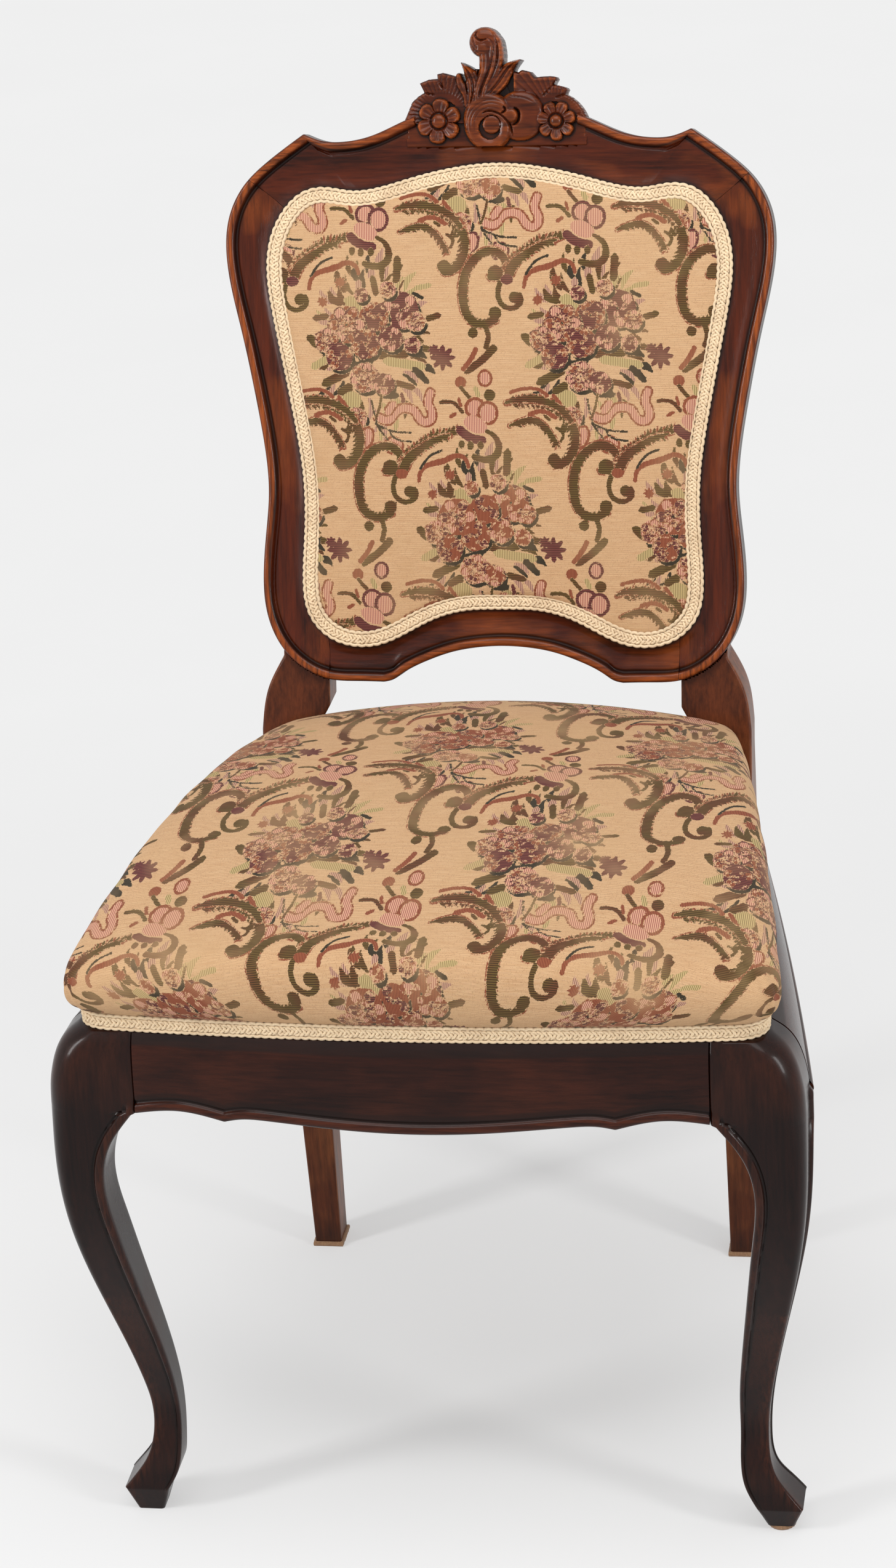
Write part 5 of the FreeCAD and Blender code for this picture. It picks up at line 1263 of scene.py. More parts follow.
def round_seat(inset, places):
    """Points of the seat's outline in plan, 0 to 4 round from the left front corner, all insets at once."""
    knots = np.linspace(-150, 40, 39)
    lines = []
    for knot in knots:
        front, corner, side, rear_corner, rear = (bezier(run, np.linspace(0, 1, 60))
                                                  for run in seat_runs(knot))
        right = np.concatenate([corner[30:], side[1:], rear_corner[1:31]])
        middle = np.concatenate([-corner[30:0:-1] * (1, -1), front, corner[1:31]])
        back = np.concatenate([rear_corner[30:], rear[1:], rear_corner[-2:29:-1] * (-1, 1)])
        left = right[::-1] * (-1, 1)
        sides = [along(part, np.linspace(0, 1, 240)) for part in (middle, right, back, left)]
        lines.append(np.concatenate([part[:-1] for part in sides] + [sides[0][:1]]))
    lines = np.array(lines)
    row = np.interp(inset, knots, np.arange(len(knots)))
    column = places / 4 * (lines.shape[1] - 1)
    low_row = np.minimum(row.astype(int), len(knots) - 2)
    low_column = np.minimum(column.astype(int), lines.shape[1] - 2)
    share_row, share_column = (row - low_row)[..., None], (column - low_column)[..., None]
    near, far = (lines[low_row + step, low_column] * (1 - share_column)
                 + lines[low_row + step, low_column + 1] * share_column for step in (0, 1))
    return near * (1 - share_row) + far * share_row


SEAT_CENTRE = np.array((0.0, -12.0))
SEAT_BASE, SEAT_CROWN = 441.0, 514.5
RIM_INSETS = np.array((0.4, -4.6, -8.6, -8.0, -3.6, 4.0, 13.0, 26.0))
RIM_RUN = np.array((0.0, 9.0, 22.0, 36.0, 46.0, 55.0, 64.0, 77.0))
RIM_RISE = np.array((0, 0.115, 0.36, 0.665, 0.86, 0.957, 0.988, 1.0))
RIM_SHARE = 0.30
# Depths on the seat's plan, and the heights in the tapestry's drawing that lie there.
WEAVE_DEPTHS = (-330, -213, -92, -80, -8, 18, 105, 160, 280)
WEAVE_ROWS = (35, 152, 227, 240, 286, 303, 391, 428, 548)
COVER_CORNERS = ((-152, 12), (152, 12), (170, 318), (-170, 318))
CLOTH_CORNERS = ((-156, 5), (156, 5), (176, 320), (-176, 320))


def seat_dome(x, y):
    """Height of the stuffed top: parabolas across and deep, and their product, so its corners lie lowest."""
    across = (x / np.interp(y, (-240, 212), (246, 176))) ** 2
    deep = ((y - SEAT_CENTRE[1]) / 225) ** 2
    return SEAT_CROWN - 9 * across - np.where(y > SEAT_CENTRE[1], 20, 15) * deep - 11 * across * deep


def seat_surface(count):
    """The stuffed seat: rings climb the bulged rim by a spline, then close over the folded dome."""
    ring, place = square_rings(count)
    on_top = ring < 1 - RIM_SHARE
    rim = np.clip((1 - ring) / RIM_SHARE, 0, 1)
    run = rim * RIM_RUN[-1]
    inset, rise = (cubic(RIM_RUN, values[:, None], run.ravel())[:, 0].reshape(run.shape)
                   for values in (RIM_INSETS, RIM_RISE))
    inner = np.clip(ring / (1 - RIM_SHARE), 0, 1)[..., None]
    top_edge = round_seat(np.full_like(inset, RIM_INSETS[-1]), place)
    plan = np.where(on_top[..., None], SEAT_CENTRE + (top_edge - SEAT_CENTRE) * inner,
                    round_seat(inset, place))
    rise = np.where(on_top, 1.0, rise)
    height = SEAT_BASE + (seat_dome(plan[..., 0], plan[..., 1]) - SEAT_BASE) * rise
    unrolled = RIM_INSETS[-1] - (RIM_RUN[-1] - run)
    weave_plan = np.where(on_top[..., None], plan, round_seat(unrolled, place))
    weave_plan[..., 1] += np.maximum(0, -unrolled) * blend(0.5, 0.46, abs(place - 2.5)) * (rim < 1)
    corner = np.minimum(abs(place - np.round(place)), 0.5) * 480
    front = np.round(place) % 4 < 2
    wall = blend(0.995, 0.9, rise) * blend(0.0, 0.08, rise)
    folds = np.exp(-((corner - 5) / 2.4) ** 2) * 1.6 + np.exp(-((corner - 13) / 3.4) ** 2) * 0.8
    pull = folds * wall * np.where(front, 1.0, 0.6)
    outward = plan - SEAT_CENTRE
    outward /= np.maximum(np.linalg.norm(outward, axis=-1), 1e-6)[..., None]
    waves = 0.5 * np.sin(place * 31 + 1.3) + 0.35 * np.sin(place * 53 + 0.4)
    plan = plan - outward * (pull - waves * wall)[..., None]
    height = height + 0.5 * np.sin(plan[..., 0] / 23 + 0.8) * np.sin(plan[..., 1] / 31) * (rise > 0.98)
    return plan, height, weave_plan


def add_cover(name, points, weave, count, ageing):
    """Tapestry cover over its stuffing, from a square grid and its places in the cloth, closed below."""
    weave = with_foot(np.stack([*weave, np.zeros_like(weave[0])], -1))
    first, later = yarn_colours(weave)
    slot = name.replace("cover", "tapestry")
    return make_piece(name, with_foot(points), closed_below(count), tapestry(slot + "_cloth", ageing), slot,
                      (name, name.replace("cover", "stuffing")),
                      {"weave": weave * MM, "yarns_first": first, "yarns_later": later})


def add_seat_cover():
    """Tapestry cover of the seat over its stuffing, from the braid up over the dome."""
    count = 430
    plan, height, weave_plan = seat_surface(count)
    points = clear_of_posts(np.concatenate([plan, height[..., None]], -1), 0.6)
    weave = weave_plan[..., 0], np.interp(weave_plan[..., 1], WEAVE_DEPTHS, WEAVE_ROWS)
    add_cover("seat_cover", points, weave, count, 0.55)


def back_rings(count, inset, corners):
    """Square rings in the back's plane out to a line set in from the braid's, their shares, and that line."""
    ring, place = square_rings(count)
    loop = BRAID_LOOP - BRAID_OUTWARD * inset
    splits = [np.argmin(np.linalg.norm(loop - corner, axis=1)) for corner in corners]
    sides = []
    for start, end in zip(splits, splits[1:] + splits[:1]):
        part = loop[start:end + 1] if end > start else np.concatenate([loop[start:], loop[:end + 1]])
        sides.append(along(part, np.linspace(0, 1, 300))[:-1])
    line = np.concatenate(sides + [sides[0][:1]])
    share = place / 4 * (len(line) - 1)
    edge = np.stack([np.interp(share, np.arange(len(line)), line[:, axis]) for axis in (0, 1)], -1)
    return BACK_CENTRE + (edge - BACK_CENTRE) * ring[..., None], ring, edge


def add_back_cover():
    """Tapestry cover of the back: rings from under the braid to the middle, over a shallow sphere."""
    count = 300
    plan, ring, edge = back_rings(count, BRAID_WIDTH - 3.0, COVER_CORNERS)
    x, v = plan[..., 0], plan[..., 1]
    dome = 6.2 - (x ** 2 + (v - 179.2) ** 2) / 5600
    gap = (1 - ring) * np.linalg.norm(edge - BACK_CENTRE, axis=-1)
    rise = np.sqrt(np.clip(1 - (1 - np.clip(gap / 9, 0, 1)) ** 2.2, 0, 1))
    level = -4.6 + (dome + 4.6) * rise + 0.25 * np.sin(x / 27) * np.sin(v / 35 + 1) * rise
    add_cover("back_cover", on_back(x, v, level), (x, v), count, 0.35)


add_seat_cover()
add_back_cover()


# Braid, webbing and the plain cloths.


def braid_finish():
    """Twisted cotton braid: fine slanting threads across each strand, with painted shade low in its hollows
    and patches of dirt.
    """
    made, tree, shader = material("cotton_braid")
    run, turn, hollow = axes(attribute(tree, "twist")["Vector"])
    thread = ridge(plus(times(run, 6.2 / MM), times(turn, 6.0)))
    spots = noise(own_place(tree), 900.0)
    dirt = noise(own_place(tree), 60.0)
    colour = mixed(stretched(thread, 0.0, 0.7), paint(204, 168, 130), paint(246, 222, 188))
    colour = mixed(stretched(spots, 0.35, 0.7), colour, paint(242, 218, 180))
    # Painted shade: the low sides of the strands and the tape under them are darker.
    colour = mixed(stretched(hollow, 0.0, 1.0, 0.55, 0.0), colour, paint(120, 84, 54))
    colour = mixed(stretched(dirt, 0.45, 0.75, 0.0, 0.25), colour, paint(160, 118, 78))
    fill_all(shader, Base_Color=colour, Roughness=0.88, Specular_IOR_Level=0.2, Sheen_Weight=0.1,
             Normal=bumped(thread, 0.6, 0.3))
    return made


def cloth(name, dark, light, pitch_mm, slub, rough, depth_mm):
    """A plain woven cloth, its threads along the piece's own weave."""
    made, tree, shader = material(name)
    threads = attribute(tree, "weave")["Vector"]
    found = place_group(tree, WEAVE, Threads=threads, Pitch=pitch_mm * MM, Slub=slub)
    colour = mixed(stretched(found["Thread tone"], 0.35, 0.65), paint(*dark), paint(*light))
    colour = mixed(stretched(noise(threads, 22.0, 4.0), 0.4, 0.75, 0.0, 0.5), colour, paint(*dark))
    # Painted shade: the gaps between threads darken towards a deep brown.
    colour = mixed(times(found["Gap"], 0.7), colour, paint(38, 28, 20))
    fill_all(shader, Base_Color=colour, Roughness=rough, Specular_IOR_Level=0.2,
             Normal=bumped(found["Height"], 0.7, depth_mm))
    return made


def felt_finish():
    """Pressed felt: tangled fibres at two sizes."""
    made, tree, shader = material("wool_felt")
    fibres = noise(own_place(tree), (2600, 900, 1600), 5.0, 0.7)
    lumps = noise(own_place(tree), 260.0)
    colour = mixed(stretched(fibres, 0.35, 0.65), paint(120, 84, 58), paint(178, 140, 104))
    colour = mixed(stretched(lumps, 0.45, 0.7), colour, paint(142, 106, 78))
    fill_all(shader, Base_Color=colour, Roughness=0.96, Sheen_Weight=0.3, Normal=bumped(fibres, 0.7, 0.5))
    return made


def steel_finish():
    """Worn steel of wood screws: fine turned lines and small rust spots."""
    made, tree, shader = material("screw_steel")
    lines = noise(own_place(tree), (400, 3000, 400))
    spots = stretched(noise(own_place(tree), 420.0, 4.0), 0.58, 0.68)
    bare = mixed(lines, paint(126, 124, 120), paint(172, 170, 166))
    fill_all(shader, Base_Color=mixed(spots, bare, paint(104, 66, 42)),
             Metallic=stretched(spots, 0, 1, 1.0, 0.2), Roughness=stretched(lines, 0.3, 0.7, 0.32, 0.5),
             Normal=bumped(plus(lines, spots), 0.3, 0.05))
    return made


BRAID_COTTON = braid_finish()
WEB_CLOTH = cloth("jute_webbing", (118, 92, 62), (170, 138, 98), 1.8, 0.7, 0.9, 0.45)
HESSIAN_CLOTH = cloth("hessian", (140, 108, 70), (188, 152, 106), 1.3, 0.8, 0.92, 0.35)
LINING_CLOTH = cloth("lining_cotton", (178, 152, 112), (208, 184, 144), 0.6, 0.4, 0.85, 0.12)
FELT = felt_finish()
STEEL = steel_finish()
BRAID_PITCH = 5.75
EDGE_STRAND, MIDDLE_STRAND = 1.35, 1.05
STRAND_SIDES = 6
TAPE_HALF_WIDTH = 5.6
BACK_BRAID_LEVEL = -2.5
REAR_BRAID_REACH = 161.6


def tube(centres, radius, sides):
    """Rings of a round strand about a line of centres, in the planes square to it."""
    way = np.gradient(centres, axis=0)
    way /= np.linalg.norm(way, axis=1)[:, None]
    up = np.cross(way, np.roll(way, 1, axis=1) + (0.3, 0.2, 0.9))
    up /= np.linalg.norm(up, axis=1)[:, None]
    side = np.cross(way, up)
    turn = np.arange(sides)[:, None] / sides * 2 * math.pi
    return centres[:, None] + radius * (up[:, None] * np.cos(turn) + side[:, None] * np.sin(turn))


def swept(rings, mark, closed):
    """Points, faces and mask of rings along a line, which join end to end or are capped."""
    rows, sides = rings.shape[:2]
    mark = mark.reshape(-1, 3)
    if closed:
        return rings.reshape(-1, 3), [grid_faces(rows, sides, ring=True, loop=True)], mark
    return with_ends(rings), capped(rows, sides), np.concatenate([mark, mark[:1], mark[-1:]])


def gathered(parts):
    """Points, faces and mask of several parts as those of one piece."""
    points, groups, marks = zip(*parts)
    starts = np.cumsum([0] + [len(some) for some in points])
    faces = [some + start for group, start in zip(groups, starts) for some in group]
    return np.concatenate(points), faces, np.concatenate(marks)


def braid_piece(name, line, lateral, outward, closed=False):
    """Plaited braid: looped strands along both edges and crossing strands between, on a flat tape."""
    run = lengths(line)
    pitches = round(run[-1] / BRAID_PITCH)
    places = np.linspace(0, run[-1], pitches * 9 + (0 if closed else 1), endpoint=not closed)
    centre, lateral, outward = (np.stack([np.interp(places, run, part[:, axis]) for axis in range(3)], 1)
                                for part in (line, lateral, outward))
    lateral, outward = (way / np.linalg.norm(way, axis=1)[:, None] for way in (lateral, outward))
    phase = places / run[-1] * pitches * math.pi
    half = BRAID_THICKNESS / 2
    strands = []
    for side, shift in ((1, 0.0), (-1, math.pi / 2)):
        bump = abs(np.sin(phase + shift))
        strands.append((side * (4.35 + 0.85 * bump), half - EDGE_STRAND + 0.12 + 0.25 * bump, EDGE_STRAND))
    for index in range(4):
        angle = phase + index * math.pi / 2
        lift = 0.1 + 0.5 * np.cos(2 * angle + index)
        strands.append((2.75 * np.sin(angle), half - MIDDLE_STRAND + lift, MIDDLE_STRAND))
    parts = []
    for across, out, radius in strands:
        centres = centre + lateral * across[:, None] + outward * out[:, None]
        if closed:
            rings = tube(np.concatenate([centres[-3:], centres, centres[:3]]), radius, STRAND_SIDES)[3:-3]
        else:
            rings = tube(centres, radius, STRAND_SIDES)
        depth = np.einsum("ijk,ik->ij", rings - centre[:, None], outward)
        turn = np.tile(np.arange(STRAND_SIDES) / STRAND_SIDES, (len(rings), 1))
        # Height of each point across the braid, 0 at the tape's back to 1 at the top, read by the cotton's
        # painted shade.
        hollow = np.clip((depth + half) / BRAID_THICKNESS, 0, 1)
        run_mark = np.repeat(places[:, None] * MM, STRAND_SIDES, 1)
        parts.append(swept(rings, np.stack([run_mark, turn, hollow], -1), closed))
    tape = np.array(((-TAPE_HALF_WIDTH, -half), (TAPE_HALF_WIDTH, -half), (TAPE_HALF_WIDTH, -half + 0.9),
                     (0, -half + 1.1), (-TAPE_HALF_WIDTH, -half + 0.9)))
    centre, lateral, outward = centre[::3, None], lateral[::3, None], outward[::3, None]
    rings = centre + lateral * tape[None, :, :1] + outward * tape[None, :, 1:]
    # The tape sits low, so its value of 0.1 gives it nearly the full painted shade.
    parts.append(swept(rings, np.tile((0.0, 0.0, 0.1), (len(rings), len(tape), 1)), closed))
    points, faces, twist = gathered(parts)
    make_piece(name, points, faces, BRAID_COTTON, "braid", (name,), {"twist": twist})


def add_seat_braids():
    """The braid round the front and sides of the seat, and the short one behind."""
    runs = [bezier(run, np.linspace(0, 1, 160)) for run in seat_runs(BRAID_THICKNESS / 2)]
    right = np.concatenate([runs[0][80:], runs[1][1:], runs[2][1:]])
    right = right[right[:, 1] < REAR_REACH + 1.8]
    round_seat_line = np.concatenate([right[::-1] * (-1, 1), right[1:]])
    x = np.linspace(REAR_BRAID_REACH, -REAR_BRAID_REACH, 120)
    behind = np.column_stack([x, np.full_like(x, REAR_REACH + REAR_RAIL_THICKNESS - BRAID_THICKNESS / 2)])
    for name, plan in (("seat_braid", round_seat_line), ("seat_rear_braid", behind)):
        line = np.column_stack([plan, np.full(len(plan), RAIL_LEDGE + BRAID_WIDTH / 2)])
        normal = np.column_stack([outward_of(plan), np.zeros(len(plan))])
        braid_piece(name, line, np.tile((0.0, 0.0, 1.0), (len(plan), 1)), normal)


def add_back_braid():
    """The braid round the back's cover, with its outer edge against the rebate."""
    plan, side = BRAID_LOOP - BRAID_OUTWARD * (BRAID_WIDTH / 2 - 0.1), BRAID_OUTWARD
    plan, side = (np.concatenate([part, part[:1]]) for part in (plan, side))
    zero = on_back(0, 0, 0)
    outward = np.tile(on_back(0, 0, 1) - zero, (len(plan), 1))
    braid_piece("back_braid", on_back(plan[:, 0], plan[:, 1], BACK_BRAID_LEVEL),
                on_back(side[:, 0], side[:, 1], 0) - zero, outward, True)


add_seat_braids()
add_back_braid()
WEB_WIDTH = 50
BACK_WEB_WIDTH = 45
WEB_THICKNESS = 1.5
TACK_MARGIN = 2
STRAP_ROWS = 121
CLOTH_LEVELS = (0.25, 0.85)


def strap(start, end, across, up, width, over, crossings):
    """A webbing strap: a flat band that rises and falls by a wave as it passes over and under others."""
    share = np.linspace(0, 1, STRAP_ROWS)
    line = start + (end - start) * share[:, None]
    run = np.linalg.norm(line - start, axis=1)
    wave = sum((1 if (index + over) % 2 else -1) * np.exp(-((run - place) / (width * 0.42)) ** 4)
               for index, place in enumerate(crossings))
    line = line + np.asarray(up) * (wave * 0.36)[:, None]
    half = width / 2
    upper = ((half, 0.1), (half - 0.4, 0.34), (0, 0.34), (-half + 0.4, 0.34), (-half, 0.1))
    ring = np.array([(-place, -level) for place, level in upper] + list(upper))
    points = line[:, None] + np.asarray(across) * ring[None, :, :1] + np.asarray(up) * ring[None, :, 1:]
    weave = np.stack([np.tile(ring[:, 0], (STRAP_ROWS, 1)), np.repeat(run[:, None], len(ring), 1),
                      np.zeros((STRAP_ROWS, len(ring)))], -1) * MM
    return with_ends(points), capped(STRAP_ROWS, len(ring)), with_ends(weave)


def add_straps(name, straps):
    """All straps of one webbing as one piece."""
    points, faces, weave = gathered(straps)
    make_piece(name, points, faces, WEB_CLOTH, "webbing", (name,), {"weave": weave}, crease=40)


def add_seat_webbing():
    """Interlaced webbing of the seat, four straps each way."""
    side_x = braid_x(BLOCK_Y) - BRAID_THICKNESS - COVER - RAIL_CORE
    shares = np.array((0.125, 0.375, 0.625, 0.875))
    xs, ys = side_x * (2 * shares - 1), FRONT_INNER_Y + (REAR_REACH - FRONT_INNER_Y) * shares
    level = RAIL_TOP + WEB_THICKNESS / 2
    margin = BRAID_THICKNESS + COVER + TACK_MARGIN + 0.4
    straps = []
    for index, y in enumerate(ys):
        reach = braid_x(y + WEB_WIDTH / 2) - margin
        straps.append(strap(np.array((-reach, y, level)), np.array((reach, y, level)), (0, 1, 0), (0, 0, 1),
                            WEB_WIDTH, index, xs + reach))
    for index, x in enumerate(xs):
        start = braid_y(abs(x) + WEB_WIDTH / 2) + margin
        by_post = abs(x) + WEB_WIDTH / 2 > POST_INSIDE[1, 0] - 1
        end = REAR_REACH - 1.0 if by_post else REAR_REACH + REAR_RAIL_THICKNESS - margin
        straps.append(strap(np.array((x, start, level)), np.array((x, end, level)), (1, 0, 0), (0, 0, 1),
                            WEB_WIDTH, index + 1, ys - start))
    add_straps("seat_webbing", straps)


def add_back_webbing():
    """Interlaced webbing of the back, three straps each way."""
    low, high = INNER_LINE[0, 1], INNER_LINE[-1, 1]
    shares = np.array((1 / 6, 1 / 2, 5 / 6))
    xs, vs = JOINT_X * (2 * shares - 1), low + (high - low) * shares
    level = REBATE_W + WEB_THICKNESS / 2
    up = on_back(0, 0, 1) - on_back(0, 0, 0)
    rise = on_back(0, 1, 0) - on_back(0, 0, 0)
    side = INNER_LINE[INNER_LINE[:, 0] > 100]
    straps = []
    for index, v in enumerate(vs):
        reach = np.interp((v - 23, v, v + 23), side[:, 1], side[:, 0]).min() - 3
        straps.append(strap(on_back(-reach, v, level), on_back(reach, v, level), rise, up, BACK_WEB_WIDTH,
                            index, xs + reach))
    for index, x in enumerate(xs):
        near = INNER_LINE[abs(INNER_LINE[:, 0] - abs(x)) < 24][:, 1]
        start, end = near[near < 100].max() + 3, near[near > 250].min() - 3
        straps.append(strap(on_back(x, start, level), on_back(x, end, level), (1, 0, 0), up, BACK_WEB_WIDTH,
                            index + 1, vs - start))
    add_straps("back_webbing", straps)


def thin_slab(top, bottom, count):
    """A thin closed slab from two matching square grids: top, bottom and the wall between their edges."""
    rim = edge_loop(count)
    after, shift = np.roll(rim, -1), count * count
    wall = np.stack([rim + shift, after + shift, after, rim], 1)
    faces = grid_faces(count, count)
    return np.concatenate([top.reshape(-1, 3), bottom.reshape(-1, 3)]), [faces, faces[:, ::-1] + shift, wall]


def add_cloth_slab(name, plan, low, high, place, finish, slot):
    """A stretched cloth between two levels over a plan of square rings."""
    drum = 0.18 * np.sin(plan[..., 0] / 19) * np.sin(plan[..., 1] / 23)
    points, faces = thin_slab(place(plan, high + drum), place(plan, low + drum), plan.shape[0])
    weave = np.tile(plan.reshape(-1, 2), (2, 1))
    weave = np.column_stack([weave, np.zeros(len(weave))]) * MM
    piece = make_piece(name, points, faces, finish, slot, (name,), {"weave": weave}, crease=40)


def add_cloths():
    """Hessian of the seat and the back, and the back's rear lining."""
    count = 90
    ring, place = square_rings(count)
    edge = round_seat(np.full_like(ring, BRAID_THICKNESS + COVER + TACK_MARGIN), place)
    plan = SEAT_CENTRE + (edge - SEAT_CENTRE) * ring[..., None]
    front_of_posts = REAR_REACH - 0.5
    posts = (abs(plan[..., 0]) > POST_INSIDE[1, 0] - 0.5) & (plan[..., 1] > front_of_posts)
    plan[..., 1] = np.where(posts, front_of_posts, plan[..., 1])

    def on_seat(flat, height):
        return np.concatenate([flat, np.broadcast_to(height, flat.shape[:2])[..., None]], -1)

    def on_lean(flat, height):
        return on_back(flat[..., 0], flat[..., 1], height)

    low, high = (RAIL_TOP + WEB_THICKNESS + level for level in CLOTH_LEVELS)
    add_cloth_slab("seat_hessian", plan, low, high, on_seat, HESSIAN_CLOTH, "hessian")
    plan = back_rings(count, TACK_MARGIN, CLOTH_CORNERS)[0]
    low, high = (REBATE_W + WEB_THICKNESS + level for level in CLOTH_LEVELS)
    add_cloth_slab("back_hessian", plan, low, high, on_lean, HESSIAN_CLOTH, "hessian")
    between_posts = POST_BRACKET - 0.6
    posts = (abs(plan[..., 0]) > between_posts) & (plan[..., 1] < 38)
    plan[..., 0] = np.where(posts, np.sign(plan[..., 0]) * between_posts, plan[..., 0])
    add_cloth_slab("back_lining", plan, REAR_W - 0.9, REAR_W - 0.25, on_lean, LINING_CLOTH, "lining")


def felt_pad(name, outline):
    """A felt pad: an outline that bulges and frays a little between its two faces."""
    levels = np.array((0.0, 0.15, 0.5, 0.85, 1.0)) * PAD_THICKNESS
    swell = np.array((-0.5, 0.15, 0.45, 0.15, -0.5))
    middle = outline.mean(0)
    way = (outline - middle) / np.linalg.norm(outline - middle, axis=1)[:, None]
    turn = np.arctan2(way[:, 1], way[:, 0])
    fray = 0.22 * np.sin(turn * 23) + 0.16 * np.sin(turn * 41 + 1)
    grid = np.stack([np.column_stack([outline + way * (grow + fray * (grow > 0))[:, None],
                                      np.full(len(outline), level)]) for level, grow in zip(levels, swell)])
    make_piece(name, with_ends(grid), capped(*grid.shape[:2]), FELT, "felt", (name,), crease=60)


def add_pads():
    """The round pad under the right front foot and the square ones under the rear feet."""
    centre = np.array((KNEE_X - LEG_SWEEP * TOE_SWEEP_SHARE - TOE_WIDTH / 2,
                       KNEE_Y + LEG_SET_BACK * TOE_SET_BACK_SHARE + TOE_WIDTH / 2))
    turn = np.linspace(0, 2 * math.pi, 96, endpoint=False)
    felt_pad("front_right_pad", centre + FRONT_PAD_REACH * np.stack([np.cos(turn), np.sin(turn)], 1))
    high_x = REAR_HALF_WIDTH - REAR_FOOT_SET_IN + PAD_MARGIN
    low_x = high_x - REAR_FOOT_WIDTH - 2 * PAD_MARGIN
    low_y = REAR_REACH + REAR_FOOT_KICK - PAD_MARGIN
    high_y = low_y + REAR_FOOT_DEPTH + 2 * PAD_MARGIN
    corners = np.array(((low_x, low_y), (high_x, low_y), (high_x, high_y), (low_x, high_y)))
    shares, afters = np.linspace(0, 1, 24)[:-1], np.roll(corners, -1, axis=0)
    sides = np.array([here + (after - here) * share for here, after in zip(corners, afters)
                      for share in shares])
    for side, mirror in SIDES:
        felt_pad("rear_" + side + "_pad", sides * ((-1, 1) if mirror else (1, 1)))


def finish_frame_nodes():
    """Materials of the frame nodes whose own shape is kept."""
    kept = {"rear_rail": PLAIN_WOOD["x"], "back_frame_dowels": PLAIN_WOOD["x"], "post_screws": STEEL}
    for side, _ in SIDES:
        kept["front_glue_block_" + side] = PLAIN_WOOD["z"]
        kept["rear_glue_block_" + side] = PLAIN_WOOD["z"]
    for name, finish in kept.items():
        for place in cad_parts[name].material_slots:
            place.material = finish


FRONT_PAD_REACH = 10.0
PAD_MARGIN = 1.5
add_seat_webbing()
add_back_webbing()
add_cloths()
add_pads()
finish_frame_nodes()


# The carved cresting.


CARVED_EDGE = np.array((
    (-70.0, 365), (-71.4, 386), (-65.5, 399.5), (-61.0, 403.6), (-56.0, 406.6), (-57.5, 410), (-59.4, 413.8),
    (-52, 416.6), (-45.4, 417), (-45.7, 420.4), (-41, 421.5), (-35, 419.8), (-30.4, 418.4), (-24, 414),
    (-16, 424), (4, 424), (18, 421), (20.5, 422.8), (26.7, 421.3), (30.5, 417), (36, 417.4), (42.5, 417.6),
    (46.6, 417.2), (47.6, 415.4), (45.2, 411.2), (50, 410.2), (54.6, 408.8), (55.6, 407.2), (54, 403.8),
    (58.5, 401.4), (62.5, 398), (66, 394), (68.5, 390), (70.8, 385), (70.0, 365),
))
CROOK = ((-11, 396), (-10.5, 404), (-8.5, 412), (-5, 420), (-3.2, 428), (-3.2, 436), (-4.2, 442))
CROOK_WIDTHS = (13, 14, 15, 16, 19, 20, 20)
HEAD, HEAD_REACH = (-8.2, 444.0), 12.0
LEFT_LEAF_WIDTHS = (1, 9, 11, 8, 4)
LEFT_LOBE_WIDTHS = (4.5, 6.5, 4, 3)
RIGHT_LEAF_WIDTHS = (1.5, 9.5, 12, 10, 7)
LEFT_LEAF = ((-26.6, 428.8), (-20.5, 421.5), (-17.2, 412), (-17.8, 403), (-20.6, 394))
LEFT_LOBE = ((-28.6, 419), (-26.2, 411), (-23.2, 403), (-22.6, 396))
RIGHT_LEAF = ((19.0, 430.2), (11, 424.5), (4, 415), (-3, 407), (-9, 401))
EYE, EYE_REACH = np.array((-2.8, 381.4)), 7.0
SHELL, SHELL_REACH = (18.9, 388.0), 19.2
ROSETTES = (((-44.4, 384.6), 17.3, 6, 0.12, 5.5), ((47.0, 383.6), 15.2, 7, 0.2, 4.6))
FAN_PITCH = 7.5
# Gouge cuts of the cresting: a width, a depth and a line.
GOUGES = (
    (1.5, 2.0, (-10.4, 389.6), (-8.2, 391), (0.5, 390.9), (7.6, 386.2), (12.2, 379.4), (13.2, 371.6)),
    (2.0, 3.2, (14.2, 394.4), (17.6, 391.4), (18.3, 387), (16.4, 382.6), (13, 380.8)),
    (1.7, 2.4, (6.4, 395.6), (8.0, 392.4), (4.6, 389.9)),
    (1.6, 1.8, (-12.6, 452.8), (-14.6, 449.4), (-11.8, 446), (-5, 447)),
    (1.2, 1.0, (-19.4, 448), (-17.2, 440.5), (-11.8, 435)),
    (1.1, 0.9, (-17, 449), (-15.4, 442.4), (-13, 439)),
    (1.5, 1.1, (-1.5, 452), (1.6, 445), (2.6, 436), (1.6, 428), (-1.5, 419), (-7, 409)),
    (1.5, 1.2, (-6, 448), (-0.8, 443), (-1.2, 434), (-4, 424), (-9, 412), (-13, 402)),
    (1.1, 0.6, (7.9, 411.6), (12, 404), (20, 402), (30, 398)),
    (1.6, 1.3, (-45.3, 416.6), (-39.5, 408)), (1.6, 1.3, (-56, 406.4), (-47, 404.5)),
    (1.6, 1.2, (45, 411), (36, 402)), (1.6, 1.2, (54, 403.6), (46, 401)),
)
CARVING_STEP = 0.55
CARVING_X, CARVING_V = (-73, 73.2), (361, 458)


def ribbon(points, widths, places):
    """How far places lie inside a swelling stroke, and where they are across it, -1 to 1."""
    line = spline(points, 60)
    gap, place = distance(places, line)
    way = np.gradient(line, axis=0)
    index = np.clip((place * 59).astype(int), 0, 59)
    offset = places - line[index]
    side = np.sign(way[index][..., 0] * offset[..., 1] - way[index][..., 1] * offset[..., 0])
    half = np.interp(place, np.linspace(0, 1, len(widths)), widths) / 2
    return half - gap, side * gap / half


